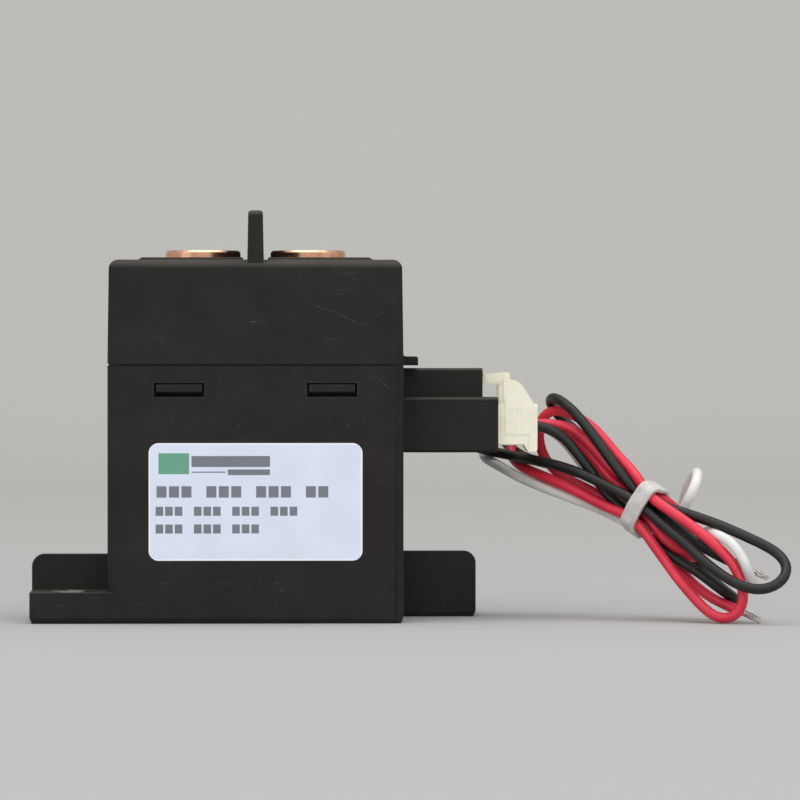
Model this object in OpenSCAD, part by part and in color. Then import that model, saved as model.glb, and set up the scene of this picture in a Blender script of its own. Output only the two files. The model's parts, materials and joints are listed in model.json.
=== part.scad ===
// High voltage dc contactor with a plugged lead set.
// Millimetres. Origin: middle of the base plane, +Z up, -Y towards the label.

/* [Base housing] */
// Width of the housing along X
body_w = 62; // [60:1:70]
// Depth of the housing along Y
body_d = 46; // [45:1:54]
// Height of the base up to the cover
base_h = 54; // [54:1:60]
// Wall of the base
base_wall = 2.2; // [1.8:0.1:2.4]
// Floor of the base
floor_t = 2.5; // [2:0.1:3.5]
// Radius of the upright corners
corner_r = 2; // [0.5:0.1:2.2]
// Height of the chamfer round the foot
foot_up = 1.2; // [0.4:0.1:2]
// Depth of the chamfer round the foot
foot_in = 0.6; // [0.2:0.1:1.2]

/* [Mounting ears] */
// How far an ear stands out from the housing
ear_out = 16.3; // [13:0.1:20]
// Depth of an ear's shelf along Y
ear_d = 14; // [12:0.5:17]
// Height of an ear's shelf
ear_h = 6.5; // [4:0.1:9]
// Thickness of the rib behind the shelf
rib_t = 3; // [2:0.1:5]
// Height of that rib
rib_h = 14.1; // [11:0.1:18]
// Radius of the rib's upper corner
rib_r = 2.6; // [1:0.1:4]
// Distance of a mounting hole from the housing's side
hole_out = 7.5; // [6:0.1:8.5]
// Distance of a mounting hole from the housing's front
hole_in = 7; // [6:0.1:7.5]
// Bore of the mounting bush
bush_bore = 5.5; // [4.3:0.1:6.5]
// Outer diameter of the mounting bush
bush_d = 8.6; // [7.6:0.1:10]
// How far the bush stands above the shelf
bush_proud = 0.2; // [0.1:0.1:0.6]

/* [Cover] */
// Height of the cover above the base
cover_h = 22.2; // [22:0.1:28]
// Wall of the cover
cover_wall = 2; // [1.6:0.1:2.4]
// Thickness of the cover's top
cover_top_t = 2.4; // [2:0.1:3]
// Draft of each side of the cover at its top
cover_draft = 0.3; // [0.1:0.05:0.6]
// Radius of the cover's top edge
cover_edge_r = 2; // [0.6:0.1:2.2]
// Distance of the raised terminal pads from the cover's sides
pad_side = 6.3; // [4:0.1:8]
// Distance of the raised terminal pads from the cover's front and back
pad_front = 3; // [2.5:0.1:8]
// Height of the raised terminal pads
pad_h = 0.5; // [0.4:0.1:1.6]
// Thickness of the barrier fin at its foot
fin_t = 3.5; // [2.4:0.1:4.4]
// Draft of each side of the fin at its top
fin_draft = 0.2; // [0.1:0.05:0.4]
// Height of the fin above the pads
fin_h = 9.8; // [6:0.1:14]
// Distance of the fin's ends from the cover's front and back
fin_front = 0.7; // [0.6:0.1:6]
// Gap between the fin and each pad
fin_gap = 0.9; // [0.5:0.1:1.4]
// How far the ledge over the socket stands out
ledge_out = 3.4; // [2:0.1:5]
// Thickness of that ledge
ledge_t = 1.9; // [1.2:0.1:2.6]
// Width of that ledge along Y
ledge_d = 20; // [14:0.5:28]

/* [Snap windows] */
// Distance of a window's middle from the middle plane
window_x = 16; // [12:0.5:20]
// Width of a window
window_w = 10.5; // [8:0.5:12]
// Height of a window
window_h = 3; // [2.4:0.1:4]
// Distance of a window's middle below the cover
window_drop = 5.1; // [4.6:0.1:7]

/* [Label] */
// Width of the label
label_w = 44.7; // [36:0.1:52]
// Height of the label
label_h = 24.6; // [18:0.1:28]
// Height of the label's middle above the base plane
label_z = 25.5; // [20:0.1:28]
// Radius of the label's corners
label_r = 2.1; // [0.5:0.1:4]
// Thickness of the label
label_t = 0.15; // [0.1:0.05:0.3]

/* [Terminals] */
// Diameter of a terminal post
post_d = 16; // [14:0.1:18]
// Distance between the posts
post_pitch = 22.4; // [22:0.1:26]
// How far a post stands above its pad
post_proud = 1.7; // [1:0.1:4]
// Diameter of the stem inside the chamber
stem_d = 11; // [9:0.1:12]
// Diameter of the hole that is tapped in a post
tap_d = 5; // [4.2:0.1:6.8]
// Depth of the tapped hole
tap_depth = 10; // [7:0.5:12]
// Chamfer on a post's top edge
post_chamfer = 0.4; // [0.2:0.1:0.8]

/* [Magnet system] */
// Room between the yoke's sides and the base, for the coil's wires
wire_room = 2.8; // [2.4:0.1:4]
// Depth of the yoke frame along Y
yoke_d = 30; // [24:0.5:36]
// Thickness of the yoke frame
yoke_t = 2.5; // [2:0.1:3]
// Room between the yoke plate and the long walls
plate_room = 2.3; // [1.6:0.1:2.5]
// Thickness of the yoke plate
plate_t = 3.2; // [2.5:0.1:4]
// Height of the bobbin
bobbin_h = 32; // [31:0.5:33]
// Room between the bobbin's flanges and the long walls
bobbin_room = 1.8; // [1.2:0.1:3]
// Thickness of a bobbin flange
flange_t = 1.6; // [1.2:0.1:2.2]
// Wall of the bobbin tube
bobbin_wall = 1.2; // [0.8:0.1:1.6]
// Depth of the winding below the flanges' edge
winding_in = 0.6; // [0.3:0.1:2]
// Diameter of the moving core
core_d = 16.3; // [15:0.1:16.6]
// Length of the moving core
core_l = 16.4; // [15:0.1:17]
// Wall of the sleeve round the core
sleeve_t = 0.5; // [0.4:0.1:0.7]
// Thickness of the rubber stop
bumper_t = 1.5; // [1:0.1:2]
// Diameter of the plunger shaft
shaft_d = 4; // [3.5:0.1:4.4]

/* [Contacts] */
// Travel of the moving core
core_travel = 2.3; // [2:0.05:2.6]
// Gap between the open contacts
contact_gap = 1.8; // [1.4:0.05:2]
// Height of the fixed contacts above the yoke plate
contact_h = 15.3; // [14.8:0.1:16]
// Length of the contact bridge
bridge_w = 34; // [32:0.5:38]
// Width of the contact bridge
bridge_d = 10; // [9:0.5:14]
// Thickness of the contact bridge
bridge_t = 2.4; // [2:0.1:2.6]
// Diameter of a contact button
button_d = 9; // [7:0.1:10]
// Height of a contact button
button_h = 0.5; // [0.3:0.1:0.8]
// Wire of the return spring
return_wire = 0.9; // [0.7:0.1:1]
// Wire of the contact spring
press_wire = 1.1; // [0.9:0.1:1.2]

/* [Arc chamber] */
// Edge of the yoke plate left outside the weld frame
weld_edge = 1; // [0.5:0.1:2]
// Room between the flux plates and the cover
flux_room = 3.1; // [2.6:0.1:4]
// Height of the ceramic chamber
chamber_h = 26; // [25:0.5:27]
// Wall of the ceramic chamber
chamber_wall = 2.5; // [2:0.1:3]
// Roof of the ceramic chamber
chamber_roof = 4; // [3:0.1:5]
// Height of the weld frame under the chamber
seal_h = 2; // [1.5:0.1:2.4]
// Height of the seal ring under a post
ring_h = 2; // [1.5:0.1:2.4]
// Length of a blow-out magnet
magnet_w = 26; // [20:0.5:28]
// Thickness of a blow-out magnet
magnet_t = 4; // [3:0.1:4.2]
// Height of a blow-out magnet
magnet_h = 12; // [8:0.5:16]
// Height of a magnet's lower edge above the yoke plate
magnet_z = 9; // [6:0.5:11]
// Thickness of a flux plate
flux_t = 1.2; // [1:0.1:1.4]

/* [Socket and plug] */
// Length of the socket shroud
socket_l = 20.5; // [18:0.1:22]
// Depth of the socket shroud along Y
socket_d = 15; // [14.6:0.1:17]
// Height of the socket shroud
socket_h = 11.7; // [11:0.1:12]
// Height of the socket's middle above the base plane
socket_z = 41.35; // [40:0.05:41.5]
// Wall of the socket shroud
socket_wall = 1.3; // [1:0.1:1.5]
// Length of the latch channel over the socket
channel_l = 17.3; // [15:0.1:18]
// Depth of the latch channel along Y
channel_d = 9; // [8:0.1:11]
// Height of the latch channel
channel_h = 6.2; // [5.8:0.1:6.3]
// How far the plug stands out of the socket
plug_out = 8.4; // [7.5:0.1:10]
// Distance between neighbouring pins
pin_pitch = 3.8; // [3.6:0.1:4]
// Width of a square pin
pin_w = 1; // [0.8:0.1:1.1]
// Width of the latch arm along Y
latch_d = 4.4; // [3.4:0.1:4.6]

/* [Leads] */
// Diameter of a lead
lead_d = 2.2; // [1.8:0.1:2.4]
// Thickness of the hank of leads
hank_t = 8; // [7:0.5:9]
// Width of the hank inside its tie
hank_waist = 10; // [9:0.5:12]
// Width of the tie's band
tie_w = 3.6; // [2.4:0.1:4.8]
// Thickness of the tie's band
tie_t = 1; // [0.8:0.1:1.4]

/* [Hidden] */
$fn = 64;

// Clearances
slip = 0.2;         // between pieces that are put together by hand
snug = 0.05;        // between pieces that are pressed or brazed together
run = 0.1;          // round the shaft where it slides
core_slack = 0.25;  // round the moving core
rest_gap = 0.15;    // under the moving core when it rests
end_gap = 0.3;      // left between the cores at the end of the travel
touch_gap = 0.05;   // left between the contacts when they are closed
overlap = 0.5;      // how far joined bodies of one moulding run into each other
cut = 1;            // how far a cutting body runs past the face it opens

// Colours
black_moulding = [0.175, 0.172, 0.165];
label_white = [0.9, 0.92, 0.94];
copper = [0.85, 0.5, 0.33];
steel = [0.62, 0.63, 0.64];
zinc = [0.75, 0.75, 0.72];
ceramic = [0.93, 0.92, 0.88];
nylon = [0.91, 0.89, 0.78];

// Base and cover
half_w = body_w / 2;
half_d = body_d / 2;
wall_in_x = half_w - base_wall;
wall_in_y = half_d - base_wall;
inner_r = 1;
seam_in = 0.3;
seam_h = 0.35;
pad_top = base_h + cover_h + pad_h;
pad_w = body_w - 2 * pad_side;
pad_d = body_d - 2 * pad_front;
pad_bevel = 0.9;
fin_d = body_d - 2 * fin_front;
fin_r = 0.7;
fin_end_r = 1.2;
ledge_r = 1;

// Ears
ear_r = 0.8;
hole_x = half_w + hole_out;
hole_y = half_d - hole_in;

// Snap tongues of the cover
tongue_t = 1.4;
tongue_w = window_w + 1.6;
tongue_root = 6;
tongue_under = 1;
hook_gap = 0.5;
hook_w = window_w - 2 * hook_gap;
hook_in = 0.3;
hook_r = 0.5;
hook_low = 0.7;
tongue_y = wall_in_y - slip;

// Heights of the magnet system
yoke_top = floor_t + yoke_t;
plate_z = yoke_top + bobbin_h;
deck = plate_z + plate_t;
yoke_w = 2 * (wall_in_x - wire_room);
yoke_bend = 3;
plate_d = 2 * (wall_in_y - plate_room);
sleeve_r = core_d / 2 + core_slack;
bobbin_bore = sleeve_r + sleeve_t + snug;
bobbin_r = wall_in_y - bobbin_room;
tube_r = bobbin_bore + bobbin_wall;
winding_r = bobbin_r - winding_in;
bumper_z = yoke_top + sleeve_t;
core_z = bumper_z + bumper_t + rest_gap;
core_top = core_z + core_l;
core_chamfer = 0.6;
pole_z = core_top + core_travel + end_gap;
shaft_r = shaft_d / 2;
shaft_in = 12;
well_r = 4.3;
core_well = 8;
pole_well = 4;
guide_edge = 4;
guide_y = yoke_d / 2 - guide_edge;
guide_t = 2;
guide_h = 24;
wire_d = 0.9;
wire_drop = 1.2;
wire_x = wall_in_x - wire_room / 2;
wire_z = plate_z - flange_t - wire_drop;
notch_side = 2.5;
notch_w = 2 * (pin_pitch + notch_side);
notch_h = 8;

// Heights of the contacts
contact_z = deck + contact_h;
button_top = contact_z - contact_gap;
bridge_top = button_top - button_h;
bridge_z = bridge_top - bridge_t;
bridge_r = 3;
clip_t = 0.8;
clip_r = 3.6;
clip_z = bridge_top + touch_gap;
shaft_end = 1.2;
shaft_top = clip_z + clip_t + shaft_end;
seat_t = 1.2;
seat_r = 5;
seat_lift = 1.6;
shield_t = 1;
seat_z = deck + shield_t + seat_lift;
seat_top = seat_z + seat_t;
return_r = 3.5;
press_r = 3.5;
coil_steps = 14;
coil_sides = 6;

// Arc chamber
chamber_z = deck + seal_h;
chamber_top = chamber_z + chamber_h;
chamber_r = 2;
frame_lip = 1;
frame_t = 0.6;
collar_z = chamber_top + ring_h;
post_top = pad_top + post_proud;
flux_side = 3;
flux_y = half_d - cover_wall - flux_room - flux_t;
flux_w = magnet_w + 2 * flux_side;
flux_h = magnet_z + magnet_h + flux_side;
magnet_y = flux_y - magnet_t;
chamber_w = yoke_w - 2 * (weld_edge + frame_lip);
chamber_d = 2 * (magnet_y - slip);
brace_x = 9;
brace_t = 1.6;
pipe_d = 3;
pipe_h = 8;
pipe_in = 3.5;
pipe_gap = 0.4;
pinch = [3.8, 0.8, 3];
pipe_x = chamber_w / 2 - pipe_in;
pipe_y = chamber_d / 2 + frame_lip + pipe_gap + pipe_d / 2;

// Socket and plug
socket_end = half_w + socket_l;
socket_back = 2.5;
socket_r = 0.7;
channel_z = socket_z + socket_h / 2;
pin_back = 0.6;
pin_reach = 13;
pin_tail = wire_x - pin_back;
pin_end = half_w + socket_back + pin_reach;
nose_d = socket_d - 2 * socket_wall - 2 * slip;
nose_h = socket_h - 2 * socket_wall - 2 * slip;
nose_gap = 1;
nose_x = half_w + socket_back + nose_gap;
nose_top = socket_z + nose_h / 2;
nose_bottom = socket_z - nose_h / 2;
plug_end = socket_end + plug_out;
cell_r = 1.5;
crimp_r = 1.4;
crimp_x = nose_x + 1.5;
crimp_end = plug_end - 5.5;
cheek_t = 2;
cheek_x = socket_end + 1.2;
cheek_top = channel_z + 3.8;
cheek_r = 3.4;
cheek_in = 0.3;
cheek_lean = 33;
lip_in = 0.6;
panel_in = 0.2;
panel_x = socket_end + 1.6;
panel_w = 4.9;
panel_z = nose_bottom + 2.3;
groove_w = 0.35;
groove_t = 0.15;
groove_x = panel_x + 0.85;
groove_pitch = 0.8;
groove_top = 1;
heel_w = 1.9;
heel_h = 1.35;
heel_in = 0.9;
heel_r = 0.4;
arm_t = 1.6;
arm_gap = 0.2;
arm_step = 0.5;
arm_z = channel_z + 2.9;
arm_x = nose_x + 2.5;
arm_root = 2.2;
thumb_w = 1.6;
thumb_h = 0.8;
thumb_x = socket_end + 2.7;
thumb_r = 0.4;

// Hank of leads, in a leaning plane through its tie
tie_at = [82.4, -11, 23.5];
hank_turn = 36;
hank_lean = 31;
hank_left = [[-29, 6.8, 4], [-42, -8, 5]];
hank_right = [[33.5, 5, 4.5], [29, -4.5, 4.5]];
tie_gap = 0.5;
tie_r = 2.4;
tie_head = [4.6, 3.4, 5.4];
tie_head_low = 2.4;
lead_sides = 8;

// Routes of the leads from the crimps in the plug to the hank
black_route = [
    [54.4, -3.8, 41.35], [60, -3.8, 41.35], [64.5, -4.2, 39.8], [67.2, -4.8, 36.8],
    [69.3, -5.2, 33.7], [71.4, -5.6, 31.2], [73.3, -6, 28]
];
red_route = [
    [54.4, 0, 41.35], [60, 0, 41.6], [65.6, -0.8, 41.3], [68.6, -1.8, 39.7],
    [71, -2.8, 37.4], [74, -4.4, 33.8], [76.4, -6, 30]
];
white_route = [
    [54.4, 3.8, 41.35], [60, 3.8, 41.35], [64.9, 2.8, 39.7], [67.6, 1.6, 36.7],
    [69.3, 0.8, 34.1], [70.9, -0.2, 31.6], [73, -1.4, 28.8]
];

// Outline of a wall with the chamfer at its foot
function footed(w, h) = [
    [foot_in - w / 2, 0], [w / 2 - foot_in, 0], [w / 2, foot_up],
    [w / 2, h], [-w / 2, h], [-w / 2, foot_up]
];

// Points of a coil spring whose end turns lie flat
function spring_path(r, wire, low, high, turns) = [
    for (i = [0 : turns * coil_steps])
        let (
            turn = i / coil_steps,
            rise = high - low - wire,
            flat = 1.06 * wire,
            z = lookup(turn, [[0, 0], [1, flat], [turns - 1, rise - flat], [turns, rise]])
        )
        [r * cos(360 * turn), r * sin(360 * turn), low + wire / 2 + z]
];

function unit(v) = v / norm(v);
function heading(path, i) = unit(path[min(i + 1, len(path) - 1)] - path[max(i - 1, 0)]);
function ring(path, i, r, sides) =
    let (
        ahead = heading(path, i),
        across = unit(cross([0, 0, 1], ahead)),
        up = cross(ahead, across)
    )
    [
        for (k = [0 : sides - 1])
            path[i] + r * (cos(360 * k / sides) * across + sin(360 * k / sides) * up)
    ];

// Round bar swept along the points of a path
module swept(path, r, sides) {
    last = len(path) - 1;
    points = [for (i = [0 : last]) each ring(path, i, r, sides)];
    near_cap = [for (k = [0 : sides - 1]) k];
    far_cap = [for (k = [sides - 1 : -1 : 0]) last * sides + k];
    skin = [
        for (i = [0 : last - 1], k = [0 : sides - 1])
            let (a = i * sides + k, b = i * sides + (k + 1) % sides)
            [a, a + sides, b + sides, b]
    ];
    polyhedron(points, concat([near_cap, far_cap], skin));
}

// Rectangle with round corners, centred
module rounded_rect(w, h, r) {
    square([w - 2 * r, h], center = true);
    square([w, h - 2 * r], center = true);
    for (x = [-1, 1], y = [-1, 1])
        translate([x * (w / 2 - r), y * (h / 2 - r)])
            circle(r);
}

// Outline with round upper corners, narrower by the draft at its top
module topped(w, low, high, r, draft) {
    top = w / 2 - draft;
    polygon([
        [-w / 2, low], [w / 2, low], [top, high - r], [top - r, high],
        [r - top, high], [-top, high - r]
    ]);
    for (side = [-1, 1])
        translate([side * (top - r), high - r])
            circle(r);
}

// Extrusion along X of an outline drawn in Y and Z
module along_x(l, center = false) {
    rotate([90, 0, 90])
        linear_extrude(l, center = center)
            children();
}

// Extrusion along Y, from the middle, of an outline drawn in X and Z
module along_y(l) {
    rotate([90, 0, 0])
        linear_extrude(l, center = true)
            children();
}

// Body whose plan, front view and side view are the three children
module from_views(w, d, h) {
    intersection() {
        linear_extrude(h)
            children(0);
        along_y(d + 2 * cut)
            children(1);
        along_x(w + 2 * cut, center = true)
            children(2);
    }
}

// Mounting ear at the left front: a shelf with an upright rib behind it
module ear() {
    back = ear_d + rib_t;
    l = ear_out + corner_r + overlap;
    translate([-half_w - ear_out, -half_d, 0])
        intersection() {
            along_x(l)
                polygon([
                    [foot_in, 0], [back - foot_in, 0], [back, foot_up], [back, rib_h],
                    [ear_d, rib_h], [ear_d, ear_h], [0, ear_h], [0, foot_up]
                ]);
            along_y(2 * body_d) {
                polygon([
                    [foot_in, 0], [l, 0], [l, rib_h], [rib_r, rib_h],
                    [0, rib_h - rib_r], [0, foot_up]
                ]);
                translate([rib_r, rib_h - rib_r])
                    circle(rib_r);
            }
            linear_extrude(rib_h)
                translate([l / 2 + ear_r, back / 2])
                    rounded_rect(l + 2 * ear_r, back, ear_r);
        }
}

module socket_body() {
    translate([half_w - overlap, 0, socket_z])
        along_x(socket_l + overlap)
            rounded_rect(socket_d, socket_h, socket_r);
    translate([half_w - overlap, 0, channel_z + (channel_h - socket_wall) / 2])
        along_x(channel_l + overlap)
            rounded_rect(channel_d, channel_h + socket_wall, socket_r);
}

module socket_hollow() {
    room_d = channel_d - 2 * socket_wall;
    translate([half_w + socket_back, 0, socket_z]) {
        along_x(socket_l)
            rounded_rect(socket_d - 2 * socket_wall, socket_h - 2 * socket_wall, socket_r);
        translate([0, -room_d / 2, 0])
            cube([socket_l, room_d, socket_h / 2 + channel_h - socket_wall]);
    }
    for (i = [-1 : 1])
        translate([wall_in_x - cut, i * pin_pitch, socket_z])
            along_x(base_wall + socket_back + 2 * cut)
                square(pin_w + 2 * snug, center = true);
}

// One child in each snap window's place, on both long walls
module at_windows() {
    for (x = [-1, 1], turn = [0, 180])
        rotate([0, 0, turn])
            translate([x * window_x, 0, base_h - window_drop])
                children();
}

module base_housing() {
    guide_in = yoke_w / 2 + slip;
    guide_out = wall_in_x + overlap;
    color(black_moulding) {
        difference() {
            union() {
                from_views(body_w, body_d, base_h) {
                    rounded_rect(body_w, body_d, corner_r);
                    polygon(footed(body_w, base_h));
                    polygon(footed(body_d, base_h));
                }
                for (turn = [0, 180])
                    rotate([0, 0, turn])
                        ear();
                socket_body();
            }
            translate([0, 0, floor_t])
                linear_extrude(base_h)
                    rounded_rect(2 * wall_in_x, 2 * wall_in_y, inner_r);
            at_windows()
                translate([-window_w / 2, -half_d - cut, -window_h / 2])
                    cube([window_w, base_wall + 2 * cut, window_h]);
            for (side = [-1, 1])
                translate([side * hole_x, side * hole_y, -cut])
                    cylinder(d = bush_d + 2 * snug, h = ear_h + 2 * cut);
            socket_hollow();
        }
        for (x = [-1, 1], y = [-1, 1])
            translate([x * (guide_in + guide_out) / 2, y * guide_y, guide_h / 2 + overlap])
                cube([guide_out - guide_in, guide_t, guide_h], center = true);
    }
}

module cover_outline(w) {
    topped(w, seam_h, cover_h, cover_edge_r, cover_draft);
    translate([seam_in - w / 2, 0])
        square([w - 2 * seam_in, seam_h + overlap]);
}

// Raised pads round the posts, one on each side of the fin
module terminal_pads() {
    inner = fin_t / 2 + fin_gap;
    outer = pad_w / 2;
    for (turn = [0, 180])
        rotate([0, 0, turn])
            intersection() {
                along_y(pad_d)
                    polygon([
                        [inner, -overlap], [outer, -overlap], [outer, 0],
                        [outer - pad_bevel, pad_h], [inner, pad_h]
                    ]);
                along_x(outer)
                    topped(pad_d, -overlap, pad_h, pad_h / 2, pad_h / 2);
            }
}

module barrier_fin() {
    intersection() {
        along_y(fin_d)
            topped(fin_t, -cover_top_t / 2, pad_h + fin_h, fin_r, fin_draft);
        along_x(fin_t, center = true)
            topped(fin_d, -cover_top_t / 2, pad_h + fin_h, fin_end_r, 0);
    }
}

// Ledge of the cover above the socket, with a fillet in its corner
module socket_ledge() {
    along_y(ledge_d)
        translate([half_w - overlap, 0]) {
            square([overlap + ledge_out - ledge_t / 4, ledge_t]);
            square([overlap + ledge_out, ledge_t * 3 / 4]);
            translate([overlap + ledge_out - ledge_t / 4, ledge_t * 3 / 4])
                circle(ledge_t / 4);
            difference() {
                square([overlap + ledge_r, ledge_t + ledge_r]);
                translate([overlap + ledge_r, ledge_t + ledge_r])
                    circle(ledge_r);
            }
        }
}

// Snap tongue at the front: its round hook catches under a window's upper edge
module snap_tongue() {
    high = window_h / 2 - slip;
    low = hook_low - window_h / 2;
    nose = hook_in - half_d;
    root = window_drop + tongue_root;
    foot = -window_h / 2 - tongue_under;
    along_x(tongue_w, center = true)
        polygon([
            [tongue_t - tongue_y, foot], [tongue_t - tongue_y, root],
            [cover_wall / 2 - half_d, root], [cover_wall / 2 - half_d, window_drop + seam_h],
            [-tongue_y, window_drop + seam_h], [-tongue_y, foot]
        ]);
    along_x(hook_w, center = true)
        polygon([
            [overlap - tongue_y, high], [nose + hook_r, high], [nose, high - hook_r],
            [nose, low + hook_r], [nose + hook_r, low], [overlap - tongue_y, low - hook_r]
        ]);
}

module top_cover() {
    room_h = cover_h - cover_top_t;
    brace_in = flux_y + flux_t + slip;
    brace_out = half_d - cover_wall / 2;
    color(black_moulding) {
        translate([0, 0, base_h]) {
            difference() {
                union() {
                    from_views(body_w, body_d, cover_h) {
                        rounded_rect(body_w, body_d, corner_r);
                        cover_outline(body_w);
                        cover_outline(body_d);
                    }
                    translate([0, 0, cover_h]) {
                        terminal_pads();
                        barrier_fin();
                    }
                    socket_ledge();
                }
                translate([0, 0, -cut])
                    linear_extrude(room_h + cut)
                        rounded_rect(body_w - 2 * cover_wall, body_d - 2 * cover_wall, inner_r);
                for (side = [-1, 1])
                    translate([side * post_pitch / 2, 0, room_h - cut])
                        cylinder(d = post_d + 2 * slip, h = cover_top_t + pad_h + 2 * cut);
            }
            for (x = [-1, 1], y = [-1, 1])
                translate([x * brace_x, y * (brace_in + brace_out) / 2, (room_h + seam_h + overlap) / 2])
                    cube([brace_t, brace_out - brace_in, room_h - seam_h + overlap], center = true);
        }
        at_windows()
            snap_tongue();
    }
}

module mount_bush(side) {
    color(zinc)
        translate([side * hole_x, side * hole_y, 0])
            difference() {
                cylinder(d = bush_d, h = ear_h + bush_proud);
                translate([0, 0, -cut])
                    cylinder(d = bush_bore, h = ear_h + bush_proud + 2 * cut);
            }
}

module mount_bush_left() {
    mount_bush(-1);
}

module mount_bush_right() {
    mount_bush(1);
}

module rating_label() {
    color(label_white)
        translate([0, -half_d - label_t / 2, label_z])
            along_y(label_t)
                rounded_rect(label_w, label_h, label_r);
}

// Copper post: tapped collar above, stem and fixed contact below
module terminal(side) {
    color(copper)
        translate([side * post_pitch / 2, 0, 0])
            difference() {
                rotate_extrude()
                    polygon([
                        [0, contact_z], [stem_d / 2, contact_z], [stem_d / 2, collar_z],
                        [post_d / 2, collar_z], [post_d / 2, post_top - post_chamfer],
                        [post_d / 2 - post_chamfer, post_top], [0, post_top]
                    ]);
                translate([0, 0, post_top - tap_depth])
                    cylinder(d = tap_d, h = tap_depth + cut);
            }
}

module terminal_left() {
    terminal(-1);
}

module terminal_right() {
    terminal(1);
}

module terminal_seal(side) {
    color(steel)
        translate([side * post_pitch / 2, 0, chamber_top])
            difference() {
                cylinder(d = (post_d + stem_d) / 2, h = ring_h);
                translate([0, 0, -cut])
                    cylinder(d = stem_d + 2 * snug, h = ring_h + 2 * cut);
            }
}

module terminal_seal_left() {
    terminal_seal(-1);
}

module terminal_seal_right() {
    terminal_seal(1);
}

// U of bent steel, with a notch for the coil's wires
module yoke_frame() {
    tall = plate_z - floor_t;
    color(steel)
        difference() {
            along_y(yoke_d)
                translate([0, floor_t])
                    difference() {
                        union() {
                            translate([0, tall / 2])
                                rounded_rect(yoke_w, tall, yoke_bend);
                            translate([-yoke_w / 2, tall / 2])
                                square([yoke_w, tall / 2]);
                        }
                        translate([yoke_t - yoke_w / 2, yoke_t])
                            square([yoke_w - 2 * yoke_t, tall]);
                    }
            translate([0, -notch_w / 2, plate_z - notch_h])
                cube([yoke_w, notch_w, notch_h + cut]);
        }
}

module yoke_plate() {
    color(steel)
        translate([0, 0, plate_z])
            difference() {
                linear_extrude(plate_t)
                    rounded_rect(yoke_w, plate_d, chamber_r);
                translate([0, 0, -cut])
                    cylinder(d = core_d + 2 * snug, h = plate_t + 2 * cut);
            }
}

module coil_bobbin() {
    color([0.2, 0.22, 0.2])
        translate([0, 0, yoke_top])
            rotate_extrude()
                polygon([
                    [bobbin_bore, 0], [bobbin_r, 0], [bobbin_r, flange_t], [tube_r, flange_t],
                    [tube_r, bobbin_h - flange_t], [bobbin_r, bobbin_h - flange_t],
                    [bobbin_r, bobbin_h], [bobbin_bore, bobbin_h]
                ]);
}

module coil_winding() {
    low = yoke_top + flange_t + snug;
    high = plate_z - flange_t - snug;
    color([0.72, 0.36, 0.2])
        rotate_extrude()
            polygon([[tube_r + snug, low], [winding_r, low], [winding_r, high], [tube_r + snug, high]]);
}

// Three wires from the winding, through the notch and up to the pins
module coil_leads() {
    start = winding_r + snug;
    color([0.75, 0.35, 0.18])
        for (i = [-1 : 1])
            translate([0, i * pin_pitch, wire_z]) {
                translate([start, 0, 0])
                    rotate([0, 90, 0])
                        cylinder(d = wire_d, h = wire_x - start);
                translate([wire_x, 0, 0]) {
                    sphere(d = wire_d);
                    cylinder(d = wire_d, h = socket_z - pin_w / 2 - wire_z);
                }
            }
}

module core_sleeve() {
    color(steel)
        translate([0, 0, yoke_top])
            difference() {
                cylinder(r = sleeve_r + sleeve_t, h = bobbin_h);
                translate([0, 0, sleeve_t])
                    cylinder(r = sleeve_r, h = bobbin_h);
            }
}

module core_bumper() {
    color([0.15, 0.15, 0.15])
        translate([0, 0, bumper_z])
            difference() {
                cylinder(r = sleeve_r - slip, h = bumper_t);
                translate([0, 0, -cut])
                    cylinder(r = shaft_d, h = bumper_t + 2 * cut);
            }
}

module moving_core() {
    edge = core_d / 2;
    hole = shaft_r + snug;
    color(steel)
        rotate_extrude()
            polygon([
                [0, core_z], [edge - core_chamfer, core_z], [edge, core_z + core_chamfer],
                [edge, core_top], [well_r, core_top], [well_r, core_top - core_well],
                [hole, core_top - core_well], [hole, core_top - shaft_in], [0, core_top - shaft_in]
            ]);
}

module fixed_core() {
    hole = shaft_r + run;
    color(steel)
        rotate_extrude()
            polygon([
                [well_r, pole_z], [core_d / 2, pole_z], [core_d / 2, deck],
                [hole, deck], [hole, pole_z + pole_well], [well_r, pole_z + pole_well]
            ]);
}

module plunger_shaft() {
    low = core_top - shaft_in;
    color(steel)
        translate([0, 0, low])
            cylinder(r = shaft_r, h = shaft_top - low);
}

module return_spring() {
    color(zinc)
        swept(
            spring_path(return_r, return_wire, core_top - core_well, pole_z + pole_well, 8),
            return_wire / 2, coil_sides
        );
}

module contact_spring() {
    color(zinc)
        swept(
            spring_path(press_r, press_wire, seat_top, bridge_z, 4),
            press_wire / 2, coil_sides
        );
}

module spring_seat() {
    color(steel)
        translate([0, 0, seat_z])
            difference() {
                cylinder(r = seat_r, h = seat_t);
                translate([0, 0, -cut])
                    cylinder(r = shaft_r + snug, h = seat_t + 2 * cut);
            }
}

module bridge_clip() {
    color(steel)
        translate([0, 0, clip_z])
            difference() {
                cylinder(r = clip_r, h = clip_t);
                translate([0, 0, -cut])
                    cylinder(r = shaft_r + snug, h = clip_t + 2 * cut);
                translate([-shaft_r / 2, 0, -cut])
                    cube([shaft_r, clip_r + cut, clip_t + 2 * cut]);
            }
}

module contact_bridge() {
    color(copper)
        difference() {
            union() {
                translate([0, 0, bridge_z])
                    linear_extrude(bridge_t)
                        rounded_rect(bridge_w, bridge_d, bridge_r);
                for (side = [-1, 1])
                    translate([side * post_pitch / 2, 0, bridge_z])
                        cylinder(d = button_d, h = bridge_t + button_h);
            }
            translate([0, 0, bridge_z - cut])
                cylinder(r = shaft_r + run, h = bridge_t + 2 * cut);
        }
}

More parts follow.
